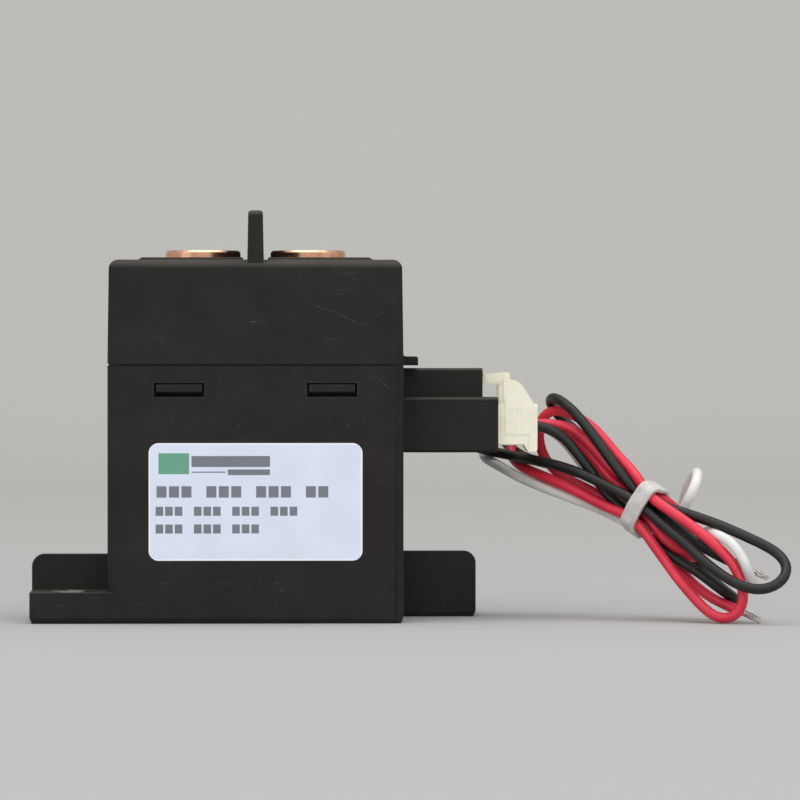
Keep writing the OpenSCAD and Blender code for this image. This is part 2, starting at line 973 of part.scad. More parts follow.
module arc_chamber() {
    color(ceramic)
        translate([0, 0, chamber_z])
            difference() {
                linear_extrude(chamber_h)
                    rounded_rect(chamber_w, chamber_d, chamber_r);
                translate([0, 0, -cut])
                    linear_extrude(chamber_h - chamber_roof + cut)
                        rounded_rect(chamber_w - 2 * chamber_wall, chamber_d - 2 * chamber_wall, chamber_r);
                for (side = [-1, 1])
                    translate([side * post_pitch / 2, 0, 0])
                        cylinder(d = stem_d + 2 * slip, h = chamber_h + cut);
            }
}

module arc_shield() {
    room = 2 * (chamber_wall + slip);
    color([0.35, 0.2, 0.12])
        translate([0, 0, deck])
            linear_extrude(shield_t)
                difference() {
                    rounded_rect(chamber_w - room, chamber_d - room, chamber_r);
                    circle(shaft_d);
                }
}

// Pressed frame: a flange on the yoke plate and an upright rim under the chamber
module seal_frame() {
    lip = 2 * frame_lip;
    room = 2 * chamber_wall;
    color(steel)
        translate([0, 0, deck])
            difference() {
                union() {
                    linear_extrude(frame_t)
                        rounded_rect(chamber_w + lip, chamber_d + lip, chamber_r);
                    linear_extrude(seal_h)
                        rounded_rect(chamber_w, chamber_d, chamber_r);
                }
                translate([0, 0, -cut])
                    linear_extrude(seal_h + 2 * cut)
                        rounded_rect(chamber_w - room, chamber_d - room, chamber_r);
            }
}

module magnet_front() {
    color([0.4, 0.4, 0.42])
        translate([-magnet_w / 2, -flux_y, deck + magnet_z])
            cube([magnet_w, magnet_t, magnet_h]);
}

module magnet_rear() {
    color([0.4, 0.4, 0.42])
        translate([-magnet_w / 2, magnet_y, deck + magnet_z])
            cube([magnet_w, magnet_t, magnet_h]);
}

module flux_plate_front() {
    color(steel)
        translate([-flux_w / 2, -flux_y - flux_t, deck])
            cube([flux_w, flux_t, flux_h]);
}

module flux_plate_rear() {
    color(steel)
        translate([-flux_w / 2, flux_y, deck])
            cube([flux_w, flux_t, flux_h]);
}

// Gas tube with its pinched end
module fill_tube() {
    color(copper)
        translate([pipe_x, pipe_y, deck]) {
            cylinder(d = pipe_d, h = pipe_h);
            hull() {
                translate([0, 0, pipe_h - cut])
                    cylinder(d = pipe_d, h = cut, $fn = 32);
                translate([-pinch[0] / 2, -pinch[1] / 2, pipe_h + pinch[2] - cut])
                    cube([pinch[0], pinch[1], cut]);
            }
        }
}

module socket_pins() {
    color(copper)
        for (i = [-1 : 1])
            translate([pin_tail, i * pin_pitch, socket_z])
                along_x(pin_end - pin_tail)
                    square(pin_w, center = true);
}

// Latch arm from the plug's nose back over the shroud: thicker outside the channel, with a thumb pad
module latch_arm() {
    top = arm_z + arm_t;
    step_x = half_w + channel_l + arm_gap;
    along_y(latch_d)
        polygon([
            [arm_x, nose_top - overlap], [arm_x + arm_root, nose_top - overlap],
            [arm_x + arm_root, arm_z - arm_root / 2], [arm_x + 3 / 2 * arm_root, arm_z],
            [thumb_x - thumb_r, arm_z], [thumb_x, arm_z + thumb_r],
            [thumb_x, top + thumb_h - thumb_r], [thumb_x - thumb_r, top + thumb_h],
            [thumb_x - thumb_w, top + thumb_h], [thumb_x - 2 * thumb_w, top + arm_step],
            [step_x, top + arm_step], [step_x, top], [arm_x + arm_root, top], [arm_x, top - arm_root]
        ]);
}

// Cheek beside the thumb pad, with a round shoulder, a leaning back and a thin lip in front
module plug_cheek(y) {
    foot = [plug_end - cheek_in, nose_top - overlap];
    away = [cos(cheek_lean), sin(cheek_lean)];
    middle_z = cheek_top - cheek_r;
    middle = [(foot * away - cheek_r - middle_z * away[1]) / away[0], middle_z];
    translate([0, y, 0]) {
        along_y(cheek_t - 2 * lip_in)
            translate([socket_end + slip, foot[1]])
                square([cheek_x - socket_end, arm_z - arm_gap - foot[1]]);
        along_y(cheek_t)
            intersection() {
                translate([cheek_x, foot[1]])
                    square([plug_end - cheek_x, cheek_top - foot[1]]);
                union() {
                    polygon([
                        [cheek_x, foot[1]], foot, middle + cheek_r * away,
                        [middle[0], cheek_top], [cheek_x, cheek_top]
                    ]);
                    translate(middle)
                        circle(cheek_r);
                }
            }
    }
}

// Cutter of the plug's side that leaves a raised panel with upright grooves
module finger_panel() {
    top = nose_h + 2 * cut;
    translate([socket_end + slip, 0, nose_bottom - cut]) {
        cube([panel_x - socket_end - slip, cut + panel_in, top]);
        cube([panel_x + panel_w - socket_end, cut + panel_in, panel_z - nose_bottom + cut]);
    }
    for (i = [0 : 3])
        translate([groove_x + i * groove_pitch - groove_w / 2, 0, panel_z - cut])
            cube([groove_w, cut + groove_t, nose_top - groove_top - panel_z + cut]);
}

// Heel under the plug's back end
module plug_heel() {
    low = nose_bottom - heel_h;
    along_y(nose_d)
        polygon([
            [plug_end - heel_w - heel_in, nose_bottom + socket_r],
            [plug_end - heel_w - heel_in, nose_bottom], [plug_end - heel_w, low],
            [plug_end - heel_r, low], [plug_end, low + heel_r], [plug_end, nose_bottom + socket_r]
        ]);
}

module plug_housing() {
    color(nylon) {
        difference() {
            union() {
                translate([nose_x, 0, socket_z])
                    along_x(plug_end - nose_x)
                        rounded_rect(nose_d, nose_h, socket_r);
                plug_heel();
                for (side = [-1, 1])
                    plug_cheek(side * (nose_d - cheek_t) / 2);
                latch_arm();
            }
            for (i = [-1 : 1])
                translate([nose_x - cut, i * pin_pitch, socket_z])
                    rotate([0, 90, 0])
                        cylinder(r = cell_r, h = plug_end - nose_x + 2 * cut);
            for (side = [0, 1])
                mirror([0, side, 0])
                    translate([0, -nose_d / 2 - cut, 0])
                        finger_panel();
        }
    }
}

// Crimped sleeves on the leads, open towards the pins
module plug_terminals() {
    bore = pin_w * 0.75;
    color(zinc)
        for (i = [-1 : 1])
            translate([crimp_x, i * pin_pitch, socket_z])
                rotate([0, 90, 0])
                    difference() {
                        cylinder(r = crimp_r, h = crimp_end - crimp_x);
                        translate([0, 0, -cut])
                            cylinder(r = bore, h = pin_end - crimp_x + 2 * cut);
                    }
}

module lead_red() {
    color([0.75, 0.06, 0.13])
        swept(red_route, lead_d / 2, lead_sides);
}

module lead_black() {
    color([0.1, 0.1, 0.1])
        swept(black_route, lead_d / 2, lead_sides);
}

module lead_white() {
    color([0.86, 0.86, 0.84])
        swept(white_route, lead_d / 2, lead_sides);
}

module at_tie() {
    translate(tie_at)
        rotate([0, hank_lean, -hank_turn])
            children();
}

// Outer form of the folded leads: a lobe on each side of the tie
module lead_hank() {
    behind = socket_d / 2 + overlap;
    color([0.5, 0.05, 0.1])
        difference() {
            at_tie()
                along_y(hank_t)
                    for (lobe = [hank_left, hank_right])
                        hull() {
                            circle(d = hank_waist, $fn = 32);
                            for (c = lobe)
                                translate([c[0], c[1]])
                                    circle(c[2], $fn = 32);
                        }
            translate([half_w, -behind, nose_bottom - heel_h - overlap])
                cube([plug_end + overlap - half_w, 2 * behind, base_h]);
        }
}

module cable_tie() {
    room_y = hank_t + 2 * tie_gap;
    room_z = hank_waist + 2 * tie_gap;
    color([0.88, 0.88, 0.86])
        at_tie() {
            along_x(tie_w, center = true)
                difference() {
                    rounded_rect(room_y + 2 * tie_t, room_z + 2 * tie_t, tie_r);
                    square([room_y, room_z], center = true);
                }
            translate([0, room_y / 2 + tie_head[1] / 2 + tie_t / 2, -tie_head_low])
                cube(tie_head, center = true);
        }
}

base_housing();
top_cover();
mount_bush_left();
mount_bush_right();
rating_label();
terminal_left();
terminal_right();
terminal_seal_left();
terminal_seal_right();
yoke_frame();
yoke_plate();
coil_bobbin();
coil_winding();
coil_leads();
core_sleeve();
core_bumper();
moving_core();
fixed_core();
plunger_shaft();
return_spring();
contact_spring();
spring_seat();
bridge_clip();
contact_bridge();
arc_chamber();
arc_shield();
seal_frame();
magnet_front();
magnet_rear();
flux_plate_front();
flux_plate_rear();
fill_tube();
socket_pins();
plug_housing();
plug_terminals();
lead_red();
lead_black();
lead_white();
lead_hank();
cable_tie();
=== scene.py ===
import json
import math
import bmesh
import bpy
import numpy as np
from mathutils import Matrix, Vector


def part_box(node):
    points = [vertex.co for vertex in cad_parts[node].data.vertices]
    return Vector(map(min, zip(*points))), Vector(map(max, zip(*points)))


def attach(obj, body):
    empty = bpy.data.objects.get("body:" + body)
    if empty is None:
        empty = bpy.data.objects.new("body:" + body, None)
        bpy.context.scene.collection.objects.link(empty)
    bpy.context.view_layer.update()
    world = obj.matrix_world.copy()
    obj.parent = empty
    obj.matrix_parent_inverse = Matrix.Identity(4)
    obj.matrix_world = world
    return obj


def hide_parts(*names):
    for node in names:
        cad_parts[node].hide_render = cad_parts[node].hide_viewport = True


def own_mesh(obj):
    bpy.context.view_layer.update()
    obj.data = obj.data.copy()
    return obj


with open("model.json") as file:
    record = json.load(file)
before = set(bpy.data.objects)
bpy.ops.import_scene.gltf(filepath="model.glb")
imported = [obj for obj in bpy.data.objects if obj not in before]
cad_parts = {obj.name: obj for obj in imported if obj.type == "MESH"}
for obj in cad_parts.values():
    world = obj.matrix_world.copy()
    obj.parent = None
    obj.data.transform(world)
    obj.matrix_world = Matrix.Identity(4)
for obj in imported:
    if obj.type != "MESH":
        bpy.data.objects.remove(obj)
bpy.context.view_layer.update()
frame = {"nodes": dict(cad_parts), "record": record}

scene = bpy.context.scene
scene.view_settings.view_transform = "Standard"
mm = 0.001


# sockets that take part in sums, and the looks they belong to

class Wire:
    def __init__(self, look, out):
        self.look, self.out = look, out

    def sum(self, how, a, b=0.0):
        return self.look.node("ShaderNodeMath", {"operation": how}, {0: a, 1: b})

    def __add__(self, other):
        return self.sum("ADD", self, other)

    def __sub__(self, other):
        return self.sum("SUBTRACT", self, other)

    def __rsub__(self, other):
        return self.sum("SUBTRACT", other, self)

    def __mul__(self, other):
        return self.sum("MULTIPLY", self, other)

    def __truediv__(self, other):
        return self.sum("DIVIDE", self, other)

    def __rtruediv__(self, other):
        return self.sum("DIVIDE", other, self)

    def __pow__(self, other):
        return self.sum("POWER", self, other)

    def __gt__(self, other):
        return self.sum("GREATER_THAN", self, other)

    def __lt__(self, other):
        return self.sum("LESS_THAN", self, other)

    def __abs__(self):
        return self.sum("ABSOLUTE", self)

    def sine(self):
        return self.sum("SINE", self)

    def wrap(self, pitch):
        return self.sum("FLOORED_MODULO", self, pitch)

    def most(self, other):
        return self.sum("MAXIMUM", self, other)

    __radd__ = __add__
    __rmul__ = __mul__


class Look:
    def __init__(self, tree):
        self.tree = tree
        tree.nodes.clear()

    def node(self, kind, settings=None, sockets=None, out=0):
        made = self.tree.nodes.new(kind)
        for key, value in (settings or {}).items():
            setattr(made, key, value)
        for key, value in (sockets or {}).items():
            if isinstance(value, Wire):
                self.tree.links.new(value.out, made.inputs[key])
            elif hasattr(value, "__len__") and len(value) == 3 and made.inputs[key].type == "RGBA":
                made.inputs[key].default_value = (*value, 1)
            else:
                made.inputs[key].default_value = value
        return Wire(self, made.outputs[out]) if len(made.outputs) else None

    def place(self, scale=(1, 1, 1), turn=(0, 0, 0)):  # millimetres in the part's own frame
        at = self.node("ShaderNodeTexCoord", out="Object")
        scale = tuple(s / mm for s in scale)
        return self.node("ShaderNodeMapping", sockets={"Vector": at, "Rotation": turn, "Scale": scale})

    def split(self, at):
        cut = self.node("ShaderNodeSeparateXYZ", sockets={0: at})
        outs = cut.out.node.outputs
        return [Wire(self, outs[k]) for k in range(3)]

    def noise(self, at, scale, detail=3.0, rough=0.5):
        return self.node("ShaderNodeTexNoise", sockets={"Vector": at, "Scale": scale, "Detail": detail,
                                                        "Roughness": rough})

    def band(self, value, low, high):  # smooth step from low to high
        return self.node("ShaderNodeMapRange", {"interpolation_type": "SMOOTHSTEP"},
                         {"Value": value, "From Min": low, "From Max": high})

    def tint(self, share, a, b):
        return self.node("ShaderNodeMix", {"data_type": "RGBA"}, {0: share, 6: a, 7: b}, out=2)

    def edges(self, radius):  # 1 along sharp edges, 0 on the flats
        soft = self.node("ShaderNodeBevel", {"samples": 6}, {"Radius": radius * mm})
        hard = self.node("ShaderNodeNewGeometry", out="Normal")
        dot = self.node("ShaderNodeVectorMath", {"operation": "DOT_PRODUCT"}, {0: soft, 1: hard}, out="Value")
        return self.band(dot, 0.995, 0.86)

    def bump(self, height, deep, strength):
        return self.node("ShaderNodeBump", sockets={"Strength": strength, "Distance": deep * mm, "Height": height})

    def close(self, varied, fixed=None):
        shader = self.node("ShaderNodeBsdfPrincipled", sockets={**(fixed or {}), **varied})
        self.node("ShaderNodeOutputMaterial", sockets={"Surface": shader})


def newLook(name):
    material = bpy.data.materials.new(name)
    material.use_nodes = True
    return material, Look(material.node_tree)


# camera

cameraView = {"at": (0, -1123, 57.3), "towards": (30.2, -23, 46.8), "lens": 236.7, "sensor": 36, "far": 20}


def setCamera():
    lens = bpy.data.cameras.new("camera")
    lens.lens = cameraView["lens"]
    lens.sensor_width = cameraView["sensor"]
    lens.clip_end = cameraView["far"]
    holder = bpy.data.objects.new("camera", lens)
    scene.collection.objects.link(holder)
    start = Vector(cameraView["at"]) * mm
    holder.location = start
    holder.rotation_euler = (Vector(cameraView["towards"]) * mm - start).to_track_quat("-Z", "Y").to_euler()
    scene.camera = holder


setCamera()
print("camera set")


# leads: routes in millimetres, first out of the plug, then in the hank's own frame
# (along the hank from the tie, up across it, and back from the camera)

hank = {
    "tie": (82.4, -11, 23.5),
    "turn": 36,
    "lean": 31,
    "thick": 2.2,
    "sides": 14,
    "step": 1.1,
    "easing": 22,
    "bendRadius": 5.4,
    "rounds": 320,
    "clear": 1.01,  # leads stay this many thicknesses apart
    "ownReach": 6,  # so many points along one lead don't push each other
    "give": 0.997,
    "tieHold": 0.08,
    "tieReach": 3,
    "tieHalf": 6,
    "fixedStart": 7,  # points that keep to the route
    "plugStart": 14,  # points that may be inside the plug
    "shroudLow": (31, -7.7, 35.2),
    "shroudHigh": (60.1, 7.7, 60),
    "exit": (0.0599, 0.04135),  # metres, along and up
}

leadRoutes = {
    "leadBlack": {
        "colour": "black", "slot": "black_insulation", "replaces": ["lead_black"], "length": 0.385,
        "out": [(54.4, -3.8, 41.35), (60, -3.8, 41.35), (64.5, -4.2, 39.8), (67.2, -4.8, 36.8),
                (69.3, -5.2, 33.7), (71.4, -5.6, 31.2), (73.3, -6, 28)],
        "hank": [(-7.8, -2.6, -0.8), (-4.3, -2.6, -0.8), (0, -2.8, -0.7), (3, -4.2, -0.4), (6, -4.8, 0.2),
                 (9, -4.8, 0.6), (12.5, -4.6, 0.6), (16.7, -4.1, 0.4), (22, -4.2, 0.2),
                 (26, -4.9, 1.4), (28, -5.8, 4.2),
                 (27.4, -6.8, 7.2), (24.6, -7.3, 9.2), (20, -7.4, 9.7), (15.4, -6.6, 8.9), (11, -4.6, 7.8),
                 (6.6, -1.4, 6.2), (3, 1.4, 4.4), (0, 2.4, 3.1), (-4, 1.4, 3.1), (-7.9, -0.7, 3), (-11.9, -1.5, 3.4),
                 (-16.8, -2.7, 3.8), (-21.2, -3.9, 4), (-26, -5.2, 4.2), (-30.6, -6.8, 4.4), (-35.1, -8.2, 4.6),
                 (-38.9, -8.5, 5), (-43.5, -8.5, 6.8), (-48, -8.3, 7.6), (-51.5, -9, 6), (-52.5, -10.4, 3),
                 (-51, -11.6, 0.2), (-47.6, -11.8, -1), (-43.8, -11.1, -0.4), (-39, -9.5, 0.9), (-35, -7.8, 1),
                 (-31.4, -6.2, -0.7), (-28.6, -4.8, -2.7), (-26.1, -3.6, -3.4), (-22.1, -2.2, -3.4),
                 (-18, -0.9, -3.4), (-13.5, 0.1, -3.4), (-9.3, 0.5, -3.3), (-6.4, 0.9, -3.2), (-3.4, 1.2, -3.1),
                 (0, 1.4, -3), (5.9, 0.6, -3), (10.1, 0.4, -3), (14.5, 0.1, -3), (18.7, -0.5, -3), (22.5, -0.6, -3.2),
                 (26.3, -0.5, -3.6), (30.8, 0.2, -4.2), (34.4, 1.4, -4.2), (37, 3.3, -3.4), (37.9, 5.7, -1.4),
                 (36.4, 7.8, 1.2), (33, 8.7, 2.3), (29.2, 8.5, 2.2), (25.2, 7.9, 1.6), (20.8, 7.1, 1.1),
                 (16.8, 6.3, 0.5), (12.6, 5.4, 0.1), (9, 4.6, -0.2), (4, 3.2, -0.7), (0, 2.6, -0.8), (-2.9, 2.8, -1.6),
                 (-7.3, 4.2, -2.3), (-12.3, 5.7, -2.3), (-17.8, 7.5, -2.3), (-23.6, 9.1, -2.4), (-27.5, 9.6, -2.4),
                 (-31.8, 8.9, -1.2), (-34.2, 6.4, 1.7), (-33, 3.8, 4.9), (-29, 2.9, 6.1), (-25.4, 3.2, 5.4),
                 (-22.6, 3.2, 4.6), (-19.7, 2.8, 4), (-13, 2.4, 3.2), (-8, 2, 2.6),
                 (0, 1.4, 1.1), (5, 0.6, 1.8), (11.8, -0.3, 2.4), (15.3, -0.2, 2.8), (18.2, 0.1, 3),
                 (21.5, 0.6, 3), (24.8, 1.3, 3)],
    },
    "leadRed": {
        "colour": "red", "slot": "red_insulation", "replaces": ["lead_red", "lead_hank"], "length": 0.335,
        "out": [(54.4, 0, 41.35), (60, 0, 41.6), (65.6, -0.8, 41.3), (68.6, -1.8, 39.7),
                (71, -2.8, 37.4), (74, -4.4, 33.8), (76.4, -6, 30)],
        "hank": [(-7, 3, 1.2), (-3, 3.4, 1.2), (0, 3.6, 1.2), (2.6, 3, 2.8), (4.4, 1.6, 5.6), (6.4, -0.2, 8.6),
                 (9.2, -2.4, 10.4), (12.4, -4, 9.8), (14.2, -5, 6.6), (13.4, -4.8, 3), (10.8, -4, 0.6),
                 (8, -3.2, -0.5), (5.4, -2.2, -0.8), (2.4, -0.9, -0.9), (0, 0.2, -0.9), (-4, 0.4, -0.4),
                 (-8.5, 0.6, 0.5), (-12.5, 0.9, 1), (-18.4, 2.2, 1), (-24.1, 3, 1.4), (-27.5, 2.6, 2.8),
                 (-31, 1.4, 4.6), (-34.4, -0.2, 6.4), (-37.4, -1.9, 7.4),
                 (-39.8, -4.2, 7.8), (-41, -6.8, 6.8), (-40, -9, 5), (-37.2, -9.8, 3.4), (-33.6, -9.2, 1.4),
                 (-29.4, -8, -0.6), (-24.6, -6.7, -1.8), (-19.8, -5.6, -2), (-15, -4.8, -2),
                 (-11.1, -4.4, -2.1), (-7.3, -3.8, -2.3), (-3.6, -2.8, -2.6), (0, -2, -2.9), (2.6, -2.6, -2.8),
                 (6.2, -4.2, -2.6), (10.9, -6, -2.2), (15.8, -7.8, -2.2), (20.5, -9, -2.4), (25.2, -10, -2.8),
                 (29.2, -10.4, -3), (32.4, -9.8, -2.8), (34, -7.2, -2.2), (33.2, -4.3, -1.6), (31.2, -2.2, -1.2),
                 (29.2, -0.6, -1), (27.2, 0.9, -1), (25.4, 1.9, -1.2), (22.7, 2.6, -1.6),
                 (19.1, 3.2, -2), (14.6, 3.7, -2.2), (9.6, 3.8, -2.4), (5.3, 3.6, -2.5), (0, 3.7, -2.6),
                 (-2.7, 4.4, -1.4), (-8.1, 5.5, 0), (-11.4, 5.8, 0),
                 (-17.9, 7.7, 0), (-22, 8.2, 0), (-26.7, 7.6, 0.4), (-29.6, 7, 0.6), (-31.8, 5.9, 0.8),
                 (-33.4, 4.2, 1), (-34, 2.2, 1.2), (-33.6, 0.2, 1.4), (-32, -1.7, 1.2), (-29.9, -3.3, 0.8),
                 (-27.3, -4.4, 0.4), (-24.6, -4.8, 0), (-20.4, -4.8, 0), (-16, -3.9, 0.2), (-12.5, -3.4, 0.6),
                 (-6, -3.4, 1.4), (0, -3.1, 1.8), (3.4, -4.2, 3.4), (7.6, -5.7, 3), (11.7, -6.7, 2.2), (15.5, -7.7, 2),
                 (19.5, -8, 2), (23.2, -7.9, 2), (26.6, -7.2, 2), (29.7, -6.6, 2)],
    },
    "leadWhite": {
        "colour": "white", "slot": "white_insulation", "replaces": ["lead_white"], "length": 0.237,
        "out": [(54.4, 3.8, 41.35), (60, 3.8, 41.35), (64.9, 2.8, 39.7), (67.6, 1.6, 36.7),
                (69.3, 0.8, 34.1), (70.9, -0.2, 31.6), (73, -1.4, 28.8)],
        "hank": [(-9, -2.2, 2.6), (-4, -1.4, 1.6), (0, -0.9, 1), (3, -0.6, 2.6), (5.2, 1.2, 4.2), (6.4, 3.8, 3.8),
                 (7, 6.4, 2.5), (7.4, 8.8, 1.9), (7.2, 10.8, 2.2), (5.9, 12.1, 4.2), (3.9, 12, 6.7), (2, 10.2, 9.5),
                 (1.2, 7.8, 10.8), (0.8, 5.2, 11.8), (0.9, 2.4, 12.8), (1.8, -1.2, 13.8), (3.4, -4.8, 13.8),
                 (5.4, -7.8, 12), (6.6, -9, 9.2), (6, -8, 6.6), (4.2, -5.2, 5.2), (2.2, -2.2, 4.2), (0, 0.1, 3.2),
                 (-4, -0.4, 4.6), (-9.3, -1.4, 6), (-14.4, -1.2, 6.4),
                 (-18.7, -0.6, 6.8), (-22.8, -0.1, 7.2),
                 (-26.8, -0.1, 7.8), (-31, -0.3, 8.4), (-35, -1, 9.4), (-38.6, -2.2, 10.6), (-42, -4.4, 11),
                 (-44.6, -7.4, 10), (-45.6, -10.4, 7.6), (-44.4, -12.4, 4.6), (-41.6, -12.6, 1.8), (-38, -11.6, 0.2),
                 (-34, -10.9, -0.8), (-29.5, -10.3, -1.1), (-24.2, -9.1, -1.1), (-19.2, -7.9, -0.9),
                 (-13.6, -6.6, 0), (-8.6, -5.4, 0.2), (-4, -4.8, 0.3), (0, -4.6, 0.4),
                 (2.6, -2.8, 1.7), (5.6, -2, 2.2), (9, -2.2, 2.6), (11.8, -1.8, 3.8), (13.4, -0.4, 5.2),
                 (13.6, 1.8, 5), (14, 3.4, 3.8), (15.2, 4.2, 2.2), (16.8, 4.6, 0.9), (18.8, 5.3, -0.2),
                 (20.8, 5.9, -1), (22.8, 6.1, -1.5),
                 (24.9, 5.7, -1.7), (26.8, 4.8, -1.7), (28.4, 3.7, -1.6), (29.7, 2.5, -1.3), (30.5, 1.2, -0.5),
                 (30.5, 0.2, 1), (29.8, -0.6, 2.8), (28.8, -1.2, 4.6)],
    },
}

hankTurn, hankLean = math.radians(hank["turn"]), math.radians(hank["lean"])
hankAxes = np.array([
    (math.cos(hankLean) * math.cos(hankTurn), -math.cos(hankLean) * math.sin(hankTurn), -math.sin(hankLean)),
    (math.sin(hankLean) * math.cos(hankTurn), -math.sin(hankLean) * math.sin(hankTurn), math.cos(hankLean)),
    (math.sin(hankTurn), math.cos(hankTurn), 0)])
hankTie = np.array(hank["tie"])


def fromHank(points):
    return hankTie + np.array(points, float) @ hankAxes


def toHank(points):
    return (np.array(points, float) - hankTie) @ hankAxes.T


def spaced(points, step):
    legs = np.linalg.norm(np.diff(points, axis=0), axis=1)
    along = np.concatenate([[0], np.cumsum(legs)])
    at = np.linspace(0, along[-1], max(2, int(round(along[-1] / step)) + 1))
    return np.stack([np.interp(at, along, points[:, k]) for k in range(3)], axis=1)


def eased(values, rounds):
    for _ in range(rounds):
        values[1:-1] += 0.5 * ((values[:-2] + values[2:]) / 2 - values[1:-1])
    return values


def firstLine(route):
    points = np.vstack([np.array(route["out"], float), fromHank(route["hank"])])
    return spaced(eased(spaced(points, hank["step"] / 2), hank["easing"]), hank["step"])


def relax(line, reach):  # opens bends that are tighter than the lead allows
    half = reach * hank["step"]
    limit = hank["bendRadius"] - math.sqrt(hank["bendRadius"] ** 2 - half ** 2)
    sag = (line[:-2 * reach] + line[2 * reach:]) / 2 - line[reach:-reach]
    size = np.linalg.norm(sag, axis=1, keepdims=True) + 1e-9
    return sag / size * np.maximum(size - limit, 0) * 0.5


def settle(lines):  # leads push each other apart, and stay off the plug and the floor
    ends = np.cumsum([0] + [len(line) for line in lines])
    spans = list(zip(ends[:-1], ends[1:]))
    target = np.vstack(lines)
    now = target.copy()
    order = np.concatenate([np.arange(len(line)) + 1000 * k for k, line in enumerate(lines)])
    same = abs(order[:, None] - order[None, :]) < hank["ownReach"]
    along, across, back = toHank(target).T
    held = np.exp(-(along / hank["tieReach"]) ** 2)  # the tie holds them
    held *= (abs(across) < hank["tieHalf"]) & (abs(back) < hank["tieHalf"])
    give = (hank["give"] - hank["tieHold"] * held)[:, None]
    thick, half = hank["thick"] * hank["clear"], hank["thick"] / 2
    low = np.array(hank["shroudLow"]) - (0, half, half)
    high = np.array(hank["shroudHigh"]) + (half * 0.6, half, 0)
    for _ in range(hank["rounds"]):
        size = (now ** 2).sum(1)
        apart = size[:, None] + size[None, :] - 2 * now @ now.T
        apart[same] = np.inf
        i, j = np.nonzero(apart < thick ** 2)
        gap = now[i] - now[j]
        far = np.sqrt((gap ** 2).sum(1)) + 1e-6
        move, hits = np.zeros_like(now), np.ones(len(now))
        np.add.at(move, i, gap / far[:, None] * (thick - far)[:, None])
        np.add.at(hits, i, 1)
        shift = now + 0.5 * move / hits[:, None] - target
        for s, e in spans:
            for reach in (3, 2):
                shift[s + reach:e - reach] += relax(now[s:e], reach)
            shift[s:e] = eased(shift[s:e], 3)
            shift[s:s + hank["fixedStart"]] = 0
        now = target + shift * give
        now[:, 2] = np.maximum(now[:, 2], half)
        inside = np.all((now > low) & (now < high), axis=1)
        for s in ends[:-1]:
            inside[s:s + hank["plugStart"]] = False
        stray = now[inside]
        down = stray[:, 2] - low[2] < high[1] - stray[:, 1]
        stray[down, 2] = low[2]
        stray[~down, 1] = high[1]
        now[inside] = stray
    return [spaced(eased(now[s:e], 2), hank["step"]) for s, e in spans]


def frames(path):  # a tangent, a side and an up for each point, without twist
    ahead = np.gradient(path, axis=0)
    ahead /= np.linalg.norm(ahead, axis=1)[:, None]
    side = np.cross(ahead[0], (0, 0, 1.0))
    if np.linalg.norm(side) < 0.1:
        side = np.cross(ahead[0], (0, 1.0, 0))
    sides = []
    for t in ahead:
        side = side - t * side.dot(t)
        side = side / np.linalg.norm(side)
        sides.append(side)
    sides = np.array(sides)
    return ahead, sides, np.cross(ahead, sides)


def addPiece(name, shape, material, body="housing", replaces=()):
    mesh = bpy.data.meshes.new(name)
    shape.to_mesh(mesh)
    shape.free()
    mesh.materials.append(material)
    mesh.shade_smooth()
    piece = bpy.data.objects.new(name, mesh)
    scene.collection.objects.link(piece)
    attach(piece, body)
    if replaces:
        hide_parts(*replaces)
    return piece


def sweep(shape, path, radii, count, ends=True):  # a round tube with its run in the UVs
    uv = shape.loops.layers.uv.verify()
    ahead, side, up = frames(path)
    run = np.concatenate([[0], np.cumsum(np.linalg.norm(np.diff(path, axis=0), axis=1))])
    rings = []
    for k, point in enumerate(path):
        ring = []
        for a in range(count):
            angle = 2 * math.pi * a / count
            offset = radii[k] * (math.cos(angle) * side[k] + math.sin(angle) * up[k])
            ring.append(shape.verts.new((point + offset) * mm))
        rings.append(ring)
    for k in range(len(path) - 1):
        for a in range(count):
            b = (a + 1) % count
            face = shape.faces.new((rings[k][a], rings[k][b], rings[k + 1][b], rings[k + 1][a]))
            spots = ((k, a), (k, a + 1), (k + 1, a + 1), (k + 1, a))
            for loop, (row, column) in zip(face.loops, spots):
                loop[uv].uv = (run[row], column / count)
    if ends:
        shape.faces.new(list(reversed(rings[0])))
        shape.faces.new(rings[-1])
    return rings


insulationLooks = {
    "red": {"base": (0.78, 0.03, 0.068), "deep": (0.62, 0.018, 0.045), "rough": 0.4, "coat": 0.15},
    "black": {"base": (0.01, 0.0094, 0.0084), "deep": (0.0055, 0.0053, 0.005), "rough": 0.43, "coat": 0.04},
    "white": {"base": (0.8, 0.8, 0.79), "deep": (0.68, 0.68, 0.67), "rough": 0.4, "coat": 0.1},
}
sleeve = {"scuff": (0.5, 0.48, 0.46), "dieLines": 26, "drift": 0.05, "spec": 0.42, "coatRough": 0.3}


